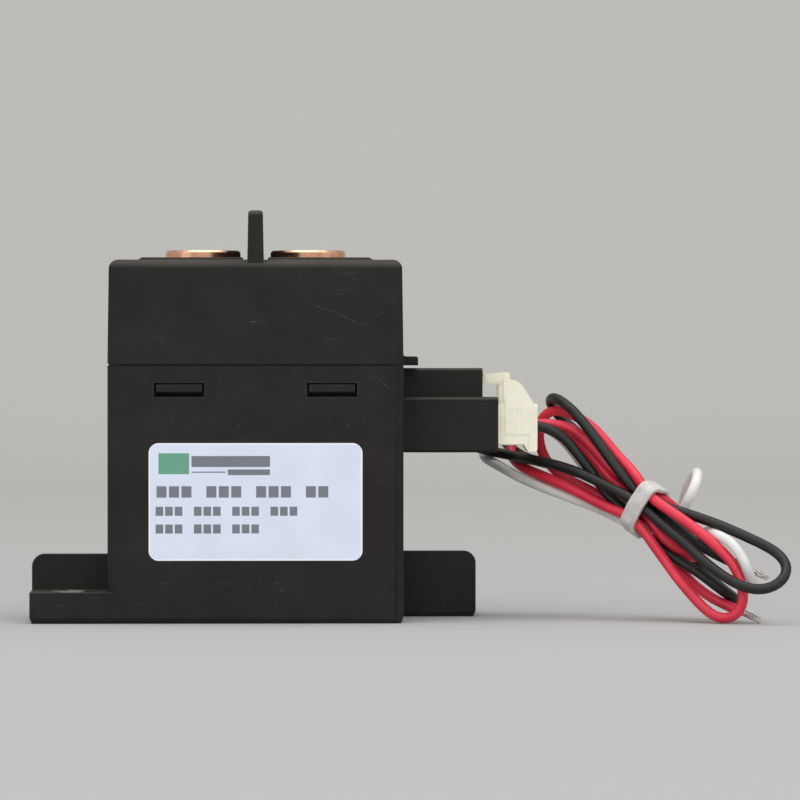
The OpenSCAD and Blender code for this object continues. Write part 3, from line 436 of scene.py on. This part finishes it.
def insulation(colour):  # drawn sleeve with faint die lines along it and a few handling marks
    want = insulationLooks[colour]
    material, look = newLook(colour + "Insulation")
    run, around, _ = look.split(look.node("ShaderNodeUVMap", {"uv_map": "UVMap"}))
    drawn = {0: run * sleeve["drift"], 1: around * sleeve["dieLines"], 2: 0.3}
    lines = look.noise(look.node("ShaderNodeCombineXYZ", sockets=drawn), 1.0, 2.0)
    cloud = look.noise(look.place(), 0.16, 3.0)
    marks = look.noise(look.place((0.5, 0.5, 1.6), (0.4, 0.3, 0.2)), 1.6, 4.0, 0.6)
    scuff = look.band(marks, 0.64, 0.74)
    tone = look.tint(look.band(cloud, 0.35, 0.7), want["base"], want["deep"])
    tone = look.tint(scuff * 0.12, tone, sleeve["scuff"])
    rough = want["rough"] + lines * 0.08 + scuff * 0.18
    grain = look.noise(look.place(), 5.0, 2.0)
    look.close({"Base Color": tone, "Roughness": rough,
                "Normal": look.bump(lines * 0.6 + grain * 0.4, 0.03, 0.5)},
               {"Specular IOR Level": sleeve["spec"], "Coat Weight": want["coat"],
                "Coat Roughness": sleeve["coatRough"]})
    return material


strandLook = {"bright": (0.74, 0.73, 0.7), "dull": (0.5, 0.49, 0.46), "rough": 0.24}


def tinnedStrand():
    material, look = newLook("tinnedStrand")
    cloud = look.noise(look.place(), 2.2, 4.0)
    pits = look.noise(look.place(), 14.0, 2.0)
    look.close({"Base Color": look.tint(look.band(cloud, 0.4, 0.65), strandLook["bright"], strandLook["dull"]),
                "Roughness": strandLook["rough"] + cloud * 0.2,
                "Normal": look.bump(pits, 0.02, 0.5)}, {"Metallic": 1.0})
    return material


leadTip = {"strand": 0.25, "ring": 0.46, "count": 6, "pitch": 11.0, "steps": 22, "sides": 8, "inside": 1.2,
           "point": 0.6, "reach": {"leadRed": 6.2, "leadBlack": 7.6, "leadWhite": 5.4},
           "sway": {"leadRed": (0.6, 0, 0), "leadBlack": (0.2, 0.2, 0), "leadWhite": (-0.2, -0.2, 0.6)}}


def addTip(name, path, material):  # seven tinned strands that leave the end with a lay
    ahead = path[-1] - path[-4]
    ahead = ahead / np.linalg.norm(ahead)
    sway = np.array(leadTip["sway"][name]) @ hankAxes
    reach, steps, count = leadTip["reach"][name], leadTip["steps"], leadTip["count"]
    along = np.linspace(0, 1, steps)[:, None]
    line = path[-1] + ahead * (reach * along - leadTip["inside"]) + sway * along ** 2
    line[:, 2] = np.maximum(line[:, 2], leadTip["ring"] + leadTip["strand"])
    _, side, up = frames(line)
    radii = [leadTip["strand"]] * (steps - 1) + [leadTip["strand"] * leadTip["point"]]
    shape = bmesh.new()
    for n in range(count + 1):
        ring = leadTip["ring"] if n else 0
        angle = 2 * math.pi * (n / count + reach * along / leadTip["pitch"])
        sweep(shape, line + ring * (np.cos(angle) * side + np.sin(angle) * up), radii, leadTip["sides"])
    return addPiece(name + "Tip", shape, material)


leadEnd = {"lip": 0.35, "lipIn": 0.15, "edge": 0.93, "edgeOut": 0.12}


def closeEnd(shape, last, path):  # the sleeve's cut end: a round rim and a dished face
    end = Vector(path[-1] * mm)
    ahead = Vector(path[-1] - path[-2]).normalized() * mm
    lip = [shape.verts.new(end.lerp(v.co, leadEnd["lip"]) - ahead * leadEnd["lipIn"]) for v in last]
    edge = [shape.verts.new(end.lerp(v.co, leadEnd["edge"]) + ahead * leadEnd["edgeOut"]) for v in last]
    for a in range(len(last)):
        b = (a + 1) % len(last)
        shape.faces.new((last[a], last[b], edge[b], edge[a]))
        shape.faces.new((edge[a], edge[b], lip[b], lip[a]))
    shape.faces.new(lip)


def addLead(name, route, path, strandMaterial):
    shape = bmesh.new()
    rings = sweep(shape, path, [hank["thick"] / 2] * len(path), hank["sides"], ends=False)
    shape.faces.new(list(reversed(rings[0])))
    closeEnd(shape, rings[-1], path)
    piece = addPiece(name, shape, insulation(route["colour"]), replaces=route["replaces"])
    tip = addTip(name, path, strandMaterial)
    route["out"][1][1] * mm
    path * mm
    print(name, "laid, mm:", round(float(np.linalg.norm(np.diff(path, axis=0), axis=1).sum())))


leadLines = dict(zip(leadRoutes, settle([firstLine(route) for route in leadRoutes.values()])))
strand = tinnedStrand()
for name, route in leadRoutes.items():
    addLead(name, route, leadLines[name], strand)


# cable tie round the leads where they pass the middle of the hank

tieBand = {"width": 3.6, "thick": 1.0, "rib": 0.46, "ribDeep": 0.12, "edge": 0.5, "chamfer": 0.2, "foot": 0.1,
           "slack": 0.08, "within": 9, "arc": 30, "easing": 30, "head": (4.6, 5.4, 3.4), "headDrop": -2.4,
           "headRound": 0.5, "tail": (3.2, 2.4, 0.9), "tailRound": 0.15, "base": (0.67, 0.645, 0.63),
           "dull": (0.57, 0.545, 0.53), "rough": 0.4, "milky": 0.25, "spec": 0.45}


def tieRing():  # outline round all the leads, in the tie's own plane
    spots = []
    for path in leadLines.values():
        local = toHank(path)
        for a, b in zip(local[:-1], local[1:]):
            if a[0] * b[0] <= 0 and a[0] != b[0] and max(abs(a[1]), abs(a[2])) < tieBand["within"]:
                t = a[0] / (a[0] - b[0])
                spots.append(a[1:] + t * (b[1:] - a[1:]))
    reach = hank["thick"] / 2 + tieBand["slack"]
    cloud = sorted(tuple(s + reach * np.array((math.cos(q), math.sin(q)))) for s in spots
                   for q in np.linspace(0, 2 * math.pi, tieBand["arc"], endpoint=False))

    def turn(a, b, c):  # above 0 where the way from a over b to c turns left
        return (b[0] - a[0]) * (c[1] - a[1]) - (b[1] - a[1]) * (c[0] - a[0])

    def chain(points):
        kept = []
        for p in points:
            while len(kept) > 1 and turn(kept[-2], kept[-1], p) <= 0:
                kept.pop()
            kept.append(p)
        return kept[:-1]

    hull = np.array(chain(cloud) + chain(cloud[::-1]))
    hull = np.column_stack([hull, np.zeros(len(hull))])
    ring = spaced(np.vstack([hull, hull[:1]]), tieBand["rib"] / 4)[:-1]
    for _ in range(tieBand["easing"]):
        ring = 0.5 * ring + 0.25 * (np.roll(ring, 1, 0) + np.roll(ring, -1, 0))
    return ring[:, :2]


def tieNylon():
    material, look = newLook("tieNylon")
    cloud = look.noise(look.place(), 0.5, 3.0)
    flow = look.noise(look.place((1, 1, 3)), 1.4, 3.0)
    tone = look.tint(look.band(cloud, 0.35, 0.7), tieBand["base"], tieBand["dull"])
    look.close({"Base Color": tone, "Roughness": tieBand["rough"] + flow * 0.15,
                "Normal": look.bump(flow, 0.04, 0.4)},
               {"Subsurface Weight": tieBand["milky"], "Subsurface Radius": (0.002, 0.002, 0.002),
                "Specular IOR Level": tieBand["spec"]})
    return material


def addBlock(shape, middle, size, edge, segments):  # a rounded block in the hank's frame
    block = bmesh.ops.create_cube(shape, size=1)["verts"]
    for v in block:
        v.co = Vector(fromHank(middle + np.array(v.co) * size) * mm)
    sides = list(dict.fromkeys(e for v in block for e in v.link_edges))
    bmesh.ops.bevel(shape, geom=sides, offset=edge * mm, segments=segments, profile=0.5, affect="EDGES")


def addTie():
    ring = tieRing()
    away = np.roll(ring, -1, 0) - np.roll(ring, 1, 0)
    away = np.column_stack([away[:, 1], -away[:, 0]])
    away /= np.linalg.norm(away, axis=1)[:, None]
    if (away * (ring - ring.mean(0))).sum() < 0:
        away = -away
    wide, thick, edge = tieBand["width"] / 2, tieBand["thick"], tieBand["edge"]
    cut, foot = tieBand["chamfer"], tieBand["foot"]
    shape = bmesh.new()
    rows = []
    for k, (spot, out) in enumerate(zip(ring, away)):
        rib = thick - tieBand["ribDeep"] * (k % 4 < 2) - 0.05
        half = [(wide - edge - 0.1, rib), (wide - edge, thick), (wide - cut, thick), (wide, thick - cut),
                (wide, foot), (wide - cut, 0)]
        profile = half + [(-u, lift) for u, lift in reversed(half)]
        rows.append([shape.verts.new(fromHank((u, *(spot + out * lift))) * mm) for u, lift in profile])
    for k in range(len(rows)):
        a, b = rows[k], rows[(k + 1) % len(rows)]
        for c in range(len(a)):
            d = (c + 1) % len(a)
            shape.faces.new((a[c], a[d], b[d], b[c]))
    back = ring[np.argmax(ring[:, 1])]
    _, headTall, headDeep = tieBand["head"]
    middle = np.array((0, back[0] + tieBand["headDrop"], back[1] + thick * 0.4 + headDeep / 2))
    addBlock(shape, middle, tieBand["head"], tieBand["headRound"], 3)
    addBlock(shape, middle + (0, -headTall / 2 - 0.6, 0.3), tieBand["tail"], tieBand["tailRound"], 2)
    bmesh.ops.recalc_face_normals(shape, faces=shape.faces)
    addPiece("tieBand", shape, tieNylon(), replaces=["cable_tie"])


addTie()
print("tie closed")


# mouldings

# one colour below is painted light from above, laid on up-facing surfaces
blackLook = {"base": (0.0096, 0.0089, 0.0078), "pale": (0.015, 0.0141, 0.0125), "speck": (0.075, 0.072, 0.067),
             "hair": (0.13, 0.126, 0.12), "paintedTopLight": (0.056, 0.048, 0.041), "seamShade": (0.003, 0.003, 0.003),
             # painted shade runs along the seam height given on the next line
             "seam": 54.1, "rough": 0.56, "spec": 0.26, "front": -21,
             "strokes": [(11, 66.9, 23, 62.2, 1.2, 0.8), (21.6, 62, 27.6, 66.2, -1.2, 0.36),
                         (23.4, 52.3, 29.4, 48, 1.4, 0.6), (-27, 59, -25.8, 71, 1, 0.3)]}


def blackMoulding():  # fine spark texture, pale specks, hair scratches and rubbed edges
    material, look = newLook("blackMoulding")
    at = look.place()
    grain = look.noise(at, 3.4, 3.0, 0.6)
    cloud = look.noise(at, 0.09, 4.0, 0.55)
    dots = look.noise(at, 2.1, 2.0, 0.4)
    speck = look.band(dots, 0.69, 0.76)
    hair = None
    for turn, wave in (((0.2, 0.5, 0.3), 0.7), ((0.1, -0.62, 0.2), 0.9)):
        bent = look.noise(look.place((0.06, 0.06, 1.5), turn), wave, 1.0, 0.3)
        thin = look.band(abs(bent - 0.5), 0.004, 0.001)
        patch = look.band(look.noise(look.place((1, 1, 1), turn), 0.11, 2.0), 0.62, 0.7)
        hair = thin * patch if hair is None else hair.most(thin * patch)
    x, y, z = look.split(at)
    unsteady = (look.noise(at, 0.35, 3.0) - 0.5) * 1.6
    worn = look.band(look.noise(at, 0.8, 3.0), 0.36, 0.52)
    for x0, z0, x1, z1, bow, share in blackLook["strokes"]:  # longer scratches on the front, each with a bow
        t = (x - x0) / (x1 - x0)
        off = abs(z - z0 - t * (z1 - z0) - t * (1 - t) * bow - unsteady)
        faded = look.band(t, 0, 0.2) * look.band(t, 1, 0.75) * worn * share
        hair = hair.most(look.band(off, 0.14, 0.03) * faded * (y < blackLook["front"]))
    rub = look.edges(0.5)
    up = look.split(look.node("ShaderNodeNewGeometry", out="Normal"))[2]
    paintedTopLight = look.band(up, 0.04, 0.7) * (0.5 + cloud * 0.7)  # painted light from above: paler where the surface faces up
    tone = look.tint(look.band(cloud, 0.3, 0.72), blackLook["base"], blackLook["pale"])
    tone = look.tint(paintedTopLight, tone, blackLook["paintedTopLight"])
    tone = look.tint(speck * 0.5, tone, blackLook["speck"])
    tone = look.tint(hair * 0.45, tone, blackLook["hair"])
    tone = look.tint(rub * 0.3, tone, blackLook["speck"])
    seam = look.band(abs(z - blackLook["seam"]), 0.42, 0.28)  # painted shade in the gap between base and cover
    tone = look.tint(seam * 0.9, tone, blackLook["seamShade"])
    rough = blackLook["rough"] + grain * 0.16 - rub * 0.12 - hair * 0.08
    look.close({"Base Color": tone, "Roughness": rough, "Normal": look.bump(grain, 0.035, 0.6)},
               {"Specular IOR Level": blackLook["spec"]})
    return material


creamLook = {"base": (0.94, 0.92, 0.77), "warm": (0.88, 0.85, 0.67), "rub": (0.97, 0.95, 0.84), "rough": 0.4,
             "milky": 0.3, "depth": (0.003, 0.0026, 0.0018), "spec": 0.45}


def creamNylon():  # milky nylon with flow marks
    material, look = newLook("creamNylon")
    at = look.place()
    cloud = look.noise(at, 0.22, 4.0, 0.55)
    flow = look.noise(look.place((0.3, 1, 1)), 0.9, 3.0)
    grain = look.noise(at, 4.5, 2.0)
    rub = look.edges(0.3)
    tone = look.tint(look.band(cloud, 0.35, 0.7), creamLook["base"], creamLook["warm"])
    tone = look.tint(rub * 0.5, tone, creamLook["rub"])
    look.close({"Base Color": tone, "Roughness": creamLook["rough"] + flow * 0.14,
                "Normal": look.bump(grain * 0.5 + flow, 0.03, 0.4)},
               {"Subsurface Weight": creamLook["milky"], "Subsurface Radius": creamLook["depth"],
                "Specular IOR Level": creamLook["spec"]})
    return material


def plainPlastic(name, base, other, rough, fine):
    material, look = newLook(name)
    at = look.place()
    cloud = look.noise(at, 0.2, 4.0)
    grain = look.noise(at, fine, 3.0)
    rub = look.edges(0.3)
    tone = look.tint(look.band(cloud, 0.35, 0.7), base, other)
    tone = look.tint(rub * 0.25, tone, tuple(min(1, 2.2 * c) for c in base))
    look.close({"Base Color": tone, "Roughness": rough + grain * 0.15 - rub * 0.1,
                "Normal": look.bump(grain, 0.04, 0.5)})
    return material


# metals

copperLook = {"bright": (0.9, 0.5, 0.33), "dull": (0.72, 0.36, 0.22), "rub": (0.97, 0.66, 0.5), "rough": 0.2,
              "pitch": 0.16, "across": 11.2}


def turnedCopper():  # lathe rings round each post, with a light tarnish
    material, look = newLook("turnedCopper")
    x, y, z = look.split(look.place())
    side = abs(x) - copperLook["across"]
    radius = (side * side + y * y) ** 0.5
    wobble = look.noise(look.place(), 0.6, 3.0)
    rings = ((radius + z) * (2 * math.pi / copperLook["pitch"]) + wobble * 4).sine() * 0.5 + 0.5
    cloud = look.noise(look.place(), 0.3, 4.0, 0.6)
    tarnish = look.band(cloud, 0.45, 0.75)
    rub = look.edges(0.3)
    tone = look.tint(tarnish, copperLook["bright"], copperLook["dull"])
    tone = look.tint(rub * 0.5, tone, copperLook["rub"])
    look.close({"Base Color": tone, "Roughness": copperLook["rough"] + tarnish * 0.14 + rings * 0.05,
                "Normal": look.bump(rings, 0.006, 0.5)}, {"Metallic": 1.0})
    return material


def metal(name, bright, dull, rough, grainScale, stretch=(1, 1, 1), deep=0.02):
    material, look = newLook(name)
    cloud = look.noise(look.place(), 0.25, 4.0, 0.6)
    grain = look.noise(look.place(stretch), grainScale, 3.0, 0.6)
    rub = look.edges(0.3)
    tone = look.tint(look.band(cloud, 0.4, 0.7), bright, dull)
    tone = look.tint(rub * 0.4, tone, tuple(min(1, 1.3 * c) for c in bright))
    look.close({"Base Color": tone, "Roughness": rough + cloud * 0.14 + grain * 0.1,
                "Normal": look.bump(grain, deep, 0.5)}, {"Metallic": 1.0})
    return material


windingLook = {"wire": 0.3, "lit": (0.62, 0.22, 0.08), "dark": (0.34, 0.1, 0.03)}


def enamelledWire():  # turns lie beside each other, one wire apart; each turn is painted lit on its crest and shaded between turns
    material, look = newLook("enamelledWire")
    z = look.split(look.place())[2]
    drift = look.noise(look.place((0.1, 0.1, 1)), 1.2, 2.0)
    turns = ((z + drift * 0.12) * (2 * math.pi / windingLook["wire"])).sine() * 0.5 + 0.5
    cloud = look.noise(look.place(), 0.3, 3.0)
    tone = look.tint(turns * 0.6 + cloud * 0.4, windingLook["dark"], windingLook["lit"])
    look.close({"Base Color": tone, "Roughness": 0.3 + cloud * 0.2, "Metallic": 0.55 + turns * 0.3,
                "Normal": look.bump(turns, 0.12, 0.9)}, {"Coat Weight": 0.4, "Coat Roughness": 0.2})
    return material


labelLook = {"film": (0.745, 0.815, 0.97), "rim": (0.9, 0.92, 0.96), "ink": (0.05, 0.055, 0.065),
             "field": (0.03, 0.3, 0.13), "wide": 44.7, "tall": 24.6, "middle": 25.5, "rimWide": 0.4,
             "fieldBox": (-20.3, -13.9, 5.8, 10.2),
             "bars": [(-13.4, 3, 7.3, 9.6), (-13.4, -6.3, 6.1, 6.35), (-5.8, 3, 5.6, 6.8)],
             "rows": [(-20.7, 15.7, 0.9, 3.3, 2.6, 2.1), (-20.9, 11, -2.9, -1, 2, 1.6),
                      (-20.9, 2.2, -6.6, -4.7, 2, 1.6)]}


def labelFilm():  # bare film with a plain field, a rule and rows of plain bars
    material, look = newLook("labelFilm")
    x, _, z = look.split(look.place())
    tall = z - labelLook["middle"]

    def box(x0, x1, z0, z1):
        return (x > x0) * (x < x1) * (tall > z0) * (tall < z1)

    rim = (abs(x) > labelLook["wide"] / 2 - labelLook["rimWide"]).most(
        abs(tall) > labelLook["tall"] / 2 - labelLook["rimWide"])
    field = box(*labelLook["fieldBox"])
    ink = box(*labelLook["bars"][0])
    for bar in labelLook["bars"][1:]:
        ink = ink.most(box(*bar))
    for x0, x1, z0, z1, pitch, long in labelLook["rows"]:  # three bars, then a space
        run = x - x0
        ink = ink.most((run.wrap(pitch) < long) * (run.wrap(4 * pitch) < 3 * pitch) * box(x0, x1, z0, z1))
    cloud = look.noise(look.place(), 0.12, 3.0)
    grain = look.noise(look.place(), 6.0, 2.0)
    tone = look.tint(look.band(cloud, 0.3, 0.7), labelLook["film"], tuple(0.95 * c for c in labelLook["film"]))
    tone = look.tint(rim * 0.8, tone, labelLook["rim"])
    tone = look.tint(field * 0.85, tone, labelLook["field"])
    tone = look.tint(ink * 0.8, tone, labelLook["ink"])
    look.close({"Base Color": tone, "Roughness": 0.42 + grain * 0.12, "Normal": look.bump(grain, 0.01, 0.4)},
               {"Specular IOR Level": 0.4})
    return material


ceramicLook = {"base": (0.84, 0.83, 0.78), "warm": (0.76, 0.75, 0.69), "speck": (0.45, 0.42, 0.36), "rough": 0.42}


def firedCeramic():
    material, look = newLook("firedCeramic")
    cloud = look.noise(look.place(), 0.3, 4.0)
    dots = look.noise(look.place(), 3.0, 2.0)
    tone = look.tint(look.band(cloud, 0.35, 0.7), ceramicLook["base"], ceramicLook["warm"])
    tone = look.tint(look.band(dots, 0.68, 0.74) * 0.4, tone, ceramicLook["speck"])
    look.close({"Base Color": tone, "Roughness": ceramicLook["rough"] + cloud * 0.2,
                "Normal": look.bump(dots, 0.03, 0.4)})
    return material


slotLooks = {
    "black_moulding": blackMoulding(),
    "label_film": labelFilm(),
    "copper": turnedCopper(),
    "steel": metal("turnedSteel", (0.56, 0.57, 0.58), (0.42, 0.43, 0.44), 0.28, 2.4, (1, 1, 6)),
    "zinc_plate": metal("zincPlate", (0.58, 0.56, 0.5), (0.44, 0.43, 0.4), 0.16, 5.0),
    "spring_wire": metal("springWire", (0.52, 0.52, 0.52), (0.36, 0.36, 0.37), 0.26, 6.0),
    "dark_plastic": plainPlastic("darkPlastic", (0.045, 0.05, 0.046), (0.03, 0.034, 0.03), 0.48, 3.0),
    "enamelled_wire": enamelledWire(),
    "rubber": plainPlastic("bumperRubber", (0.022, 0.022, 0.022), (0.03, 0.029, 0.028), 0.7, 4.0),
    "ceramic": firedCeramic(),
    "ferrite": metal("groundFerrite", (0.16, 0.16, 0.17), (0.1, 0.1, 0.11), 0.45, 4.0, (5, 1, 1), 0.03),
    "tinned_brass": metal("tinnedBrass", (0.76, 0.75, 0.72), (0.6, 0.59, 0.56), 0.25, 3.0),
    "cream_nylon": creamNylon(),
}
print("looks made:", len(slotLooks))


# CAD nodes keep their shape, with softened edges

softened = {"base_housing": 0.3, "top_cover": 0.3, "plug_housing": 0.2}
softening = {"weld": 0.002, "flatAngle": 0.5, "bevelAngle": 40, "segments": 2, "smoothAngle": 32}


def smoothByAngle():
    group = bpy.data.node_groups.new("smoothByAngle", "GeometryNodeTree")
    group.interface.new_socket("Geometry", in_out="INPUT", socket_type="NodeSocketGeometry")
    group.interface.new_socket("Geometry", in_out="OUTPUT", socket_type="NodeSocketGeometry")
    look = Look(group)
    start = look.node("NodeGroupInput")
    bend = look.node("GeometryNodeInputMeshEdgeAngle")
    sharp = look.node("FunctionNodeCompare", {"data_type": "FLOAT", "operation": "GREATER_THAN"},
                      {0: bend, 1: math.radians(softening["smoothAngle"])})
    allSmooth = look.node("GeometryNodeSetShadeSmooth", {"domain": "FACE"},
                          {"Geometry": start, "Shade Smooth": True})
    kept = look.node("GeometryNodeSetShadeSmooth", {"domain": "EDGE"},
                     {"Geometry": allSmooth, "Selection": sharp, "Shade Smooth": False})
    look.node("NodeGroupOutput", sockets={0: kept})
    return group


smoothGroup = smoothByAngle()


def dressNode(name, piece, slot):
    piece.data.materials.clear()
    piece.data.materials.append(slotLooks[slot])
    weld = piece.modifiers.new("weld", "WELD")
    weld.merge_threshold = softening["weld"] * mm
    if name in softened:
        flat = piece.modifiers.new("flat", "DECIMATE")
        flat.decimate_type = "DISSOLVE"
        flat.angle_limit = math.radians(softening["flatAngle"])
        soft = piece.modifiers.new("soft", "BEVEL")
        soft.width = softened[name] * mm
        soft.segments = softening["segments"]
        soft.limit_method = "ANGLE"
        soft.angle_limit = math.radians(softening["bevelAngle"])
    smooth = piece.modifiers.new("smooth", "NODES")
    smooth.node_group = smoothGroup
    if name in softened:
        even = piece.modifiers.new("even", "WEIGHTED_NORMAL")  # keeps the flats flat beside the rounds
        even.keep_sharp = True


for part in frame["record"]["subparts"]:
    if part["material_slot"] in slotLooks:  # the others are replaced by pieces above
        dressNode(part["node"], frame["nodes"][part["node"]], part["material_slot"])
print("nodes dressed:", len(frame["nodes"]))


# springs of round wire, in place of the CAD springs

springs = {
    "returnCoil": {"node": "return_spring", "body": "housing", "joint": "core_slide", "wire": 0.9, "turns": 8,
                   "radius": 3.5, "fixedEnd": 30.15, "travel": 2.3},
    "contactCoil": {"node": "contact_spring", "body": "plunger", "joint": "bridge_slide", "wire": 1.1, "turns": 4,
                    "radius": 3.5, "fixedEnd": 44, "travel": 0.56},
}
winding = {"closedTurn": 1.06, "steps": 32, "fill": 0.49, "sides": 12}  # closed turn and fill in wires


def addSpring(name, want):
    low, high = (corner[2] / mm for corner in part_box(want["node"]))
    wire, turns, radius = want["wire"], want["turns"], want["radius"]
    rise, flat = high - low - wire, winding["closedTurn"] * wire
    turn = np.linspace(0, turns, winding["steps"] * turns + 1)
    lift = np.interp(turn, [0, 1, turns - 1, turns], [0, flat, rise - flat, rise])
    angle = 2 * math.pi * turn
    path = np.column_stack([radius * np.cos(angle), radius * np.sin(angle), low + wire / 2 + lift])
    shape = bmesh.new()
    sweep(shape, path, [winding["fill"] * wire] * len(path), winding["sides"])
    piece = addPiece(name, shape, slotLooks["spring_wire"], want["body"], [want["node"]])
    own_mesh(piece)


for name, want in springs.items():
    addSpring(name, want)
print("springs wound:", len(springs))


# threads in the tapped posts

threadCut = {"across": 11.2, "top": 77.9, "deep": 9.0, "bore": 2.5, "root": 2.55, "crest": 0.3, "pitch": 1.0,
             "flank": 0.42, "land": 0.08, "around": 28}


def addThread(name, x):
    shape = bmesh.new()
    pitch, around, root = threadCut["pitch"], threadCut["around"], threadCut["root"]
    flank, land = threadCut["flank"] * pitch, threadCut["land"] * pitch
    steps = int(threadCut["deep"] / pitch * around)
    rows = []
    for k in range(steps + 1):
        angle = 2 * math.pi * k / around
        z = threadCut["top"] - pitch * k / around
        fade = min(1, k / around, (steps - k) / around)
        crest = threadCut["bore"] - threadCut["crest"] * fade
        row = []
        for r, dz in ((root, flank), (crest, land), (crest, -land), (root, -flank)):
            row.append(shape.verts.new(Vector((x + r * math.cos(angle), r * math.sin(angle), z + dz)) * mm))
        rows.append(row)
    for a, b in zip(rows[:-1], rows[1:]):
        for c in range(4):
            d = (c + 1) % 4
            shape.faces.new((a[c], b[c], b[d], a[d]))
    shape.faces.new(rows[0])
    shape.faces.new(list(reversed(rows[-1])))
    bmesh.ops.recalc_face_normals(shape, faces=shape.faces)
    addPiece(name, shape, slotLooks["copper"])


addThread("threadLeft", -threadCut["across"])
addThread("threadRight", threadCut["across"])
print("threads cut")


# floor that rises into a backdrop, and soft light

stageLook = {"wide": 3.0, "front": -1.6, "bend": 1.0, "radius": 0.6, "tall": 2.2, "steps": 24,
             "near": (0.455, 0.45, 0.447), "under": (0.465, 0.459, 0.455), "far": (0.6, 0.59, 0.572),
             "nearBand": (-0.45, -0.05), "farBand": (0.1, 1.2)}


def addStage():
    profile = [(stageLook["front"], 0.0)]
    for k in range(stageLook["steps"] + 1):
        angle = math.pi / 2 * k / stageLook["steps"]
        profile.append((stageLook["bend"] + stageLook["radius"] * math.sin(angle),
                        stageLook["radius"] * (1 - math.cos(angle))))
    profile.append((profile[-1][0], stageLook["tall"]))
    shape = bmesh.new()
    rows = [[shape.verts.new((x, y, z)) for x in (-stageLook["wide"], stageLook["wide"])] for y, z in profile]
    for a, b in zip(rows[:-1], rows[1:]):
        shape.faces.new((a[0], a[1], b[1], b[0]))
    mesh = bpy.data.meshes.new("floor")
    shape.to_mesh(mesh)
    shape.free()
    mesh.shade_smooth()
    floor = bpy.data.objects.new("floor", mesh)
    scene.collection.objects.link(floor)
    material, look = newLook("paperSweep")
    back = look.split(look.node("ShaderNodeTexCoord", out="Object"))[1]
    # painted light and shade: the sweep's colour is graded from front to back, paler towards the bend and backdrop
    tone = look.tint(look.band(back, *stageLook["nearBand"]), stageLook["near"], stageLook["under"])
    tone = look.tint(look.band(back, *stageLook["farBand"]), tone, stageLook["far"])
    look.close({"Base Color": tone}, {"Roughness": 0.9, "Specular IOR Level": 0.1})
    mesh.materials.append(material)


addStage()

lamps = {
    "overhead": {"at": (0.05, -0.15, 1.3), "towards": (0.02, 0, 0.03), "size": (1.3, 1.1), "watts": 9.0},
    "leftBox": {"at": (-1.1, -0.8, 0.6), "towards": (0, 0, 0.05), "size": (0.8, 1.0), "watts": 2.4},
    "rightBox": {"at": (1.2, -0.8, 0.7), "towards": (0.03, 0, 0.05), "size": (0.8, 1.0), "watts": 2.4},
    "frontBox": {"at": (0.05, -1.7, 0.9), "towards": (0.02, 0, 0.05), "size": (1.6, 0.9), "watts": 8.2},
}
worldLevel = 0.62


def addLights():
    for name, want in lamps.items():
        lamp = bpy.data.lights.new(name, "AREA")
        lamp.shape = "RECTANGLE"
        lamp.size, lamp.size_y = want["size"]
        lamp.energy = want["watts"]
        holder = bpy.data.objects.new(name, lamp)
        holder.location = want["at"]
        holder.rotation_euler = (Vector(want["towards"]) - Vector(want["at"])).to_track_quat("-Z", "Y").to_euler()
        scene.collection.objects.link(holder)
    world = bpy.data.worlds.new("studio")
    world.use_nodes = True
    scene.world = world
    look = Look(world.node_tree)
    sky = look.node("ShaderNodeBackground", sockets={"Color": (1, 0.995, 0.98, 1), "Strength": worldLevel})
    look.node("ShaderNodeOutputWorld", sockets={"Surface": sky})


addLights()
print("stage lit")
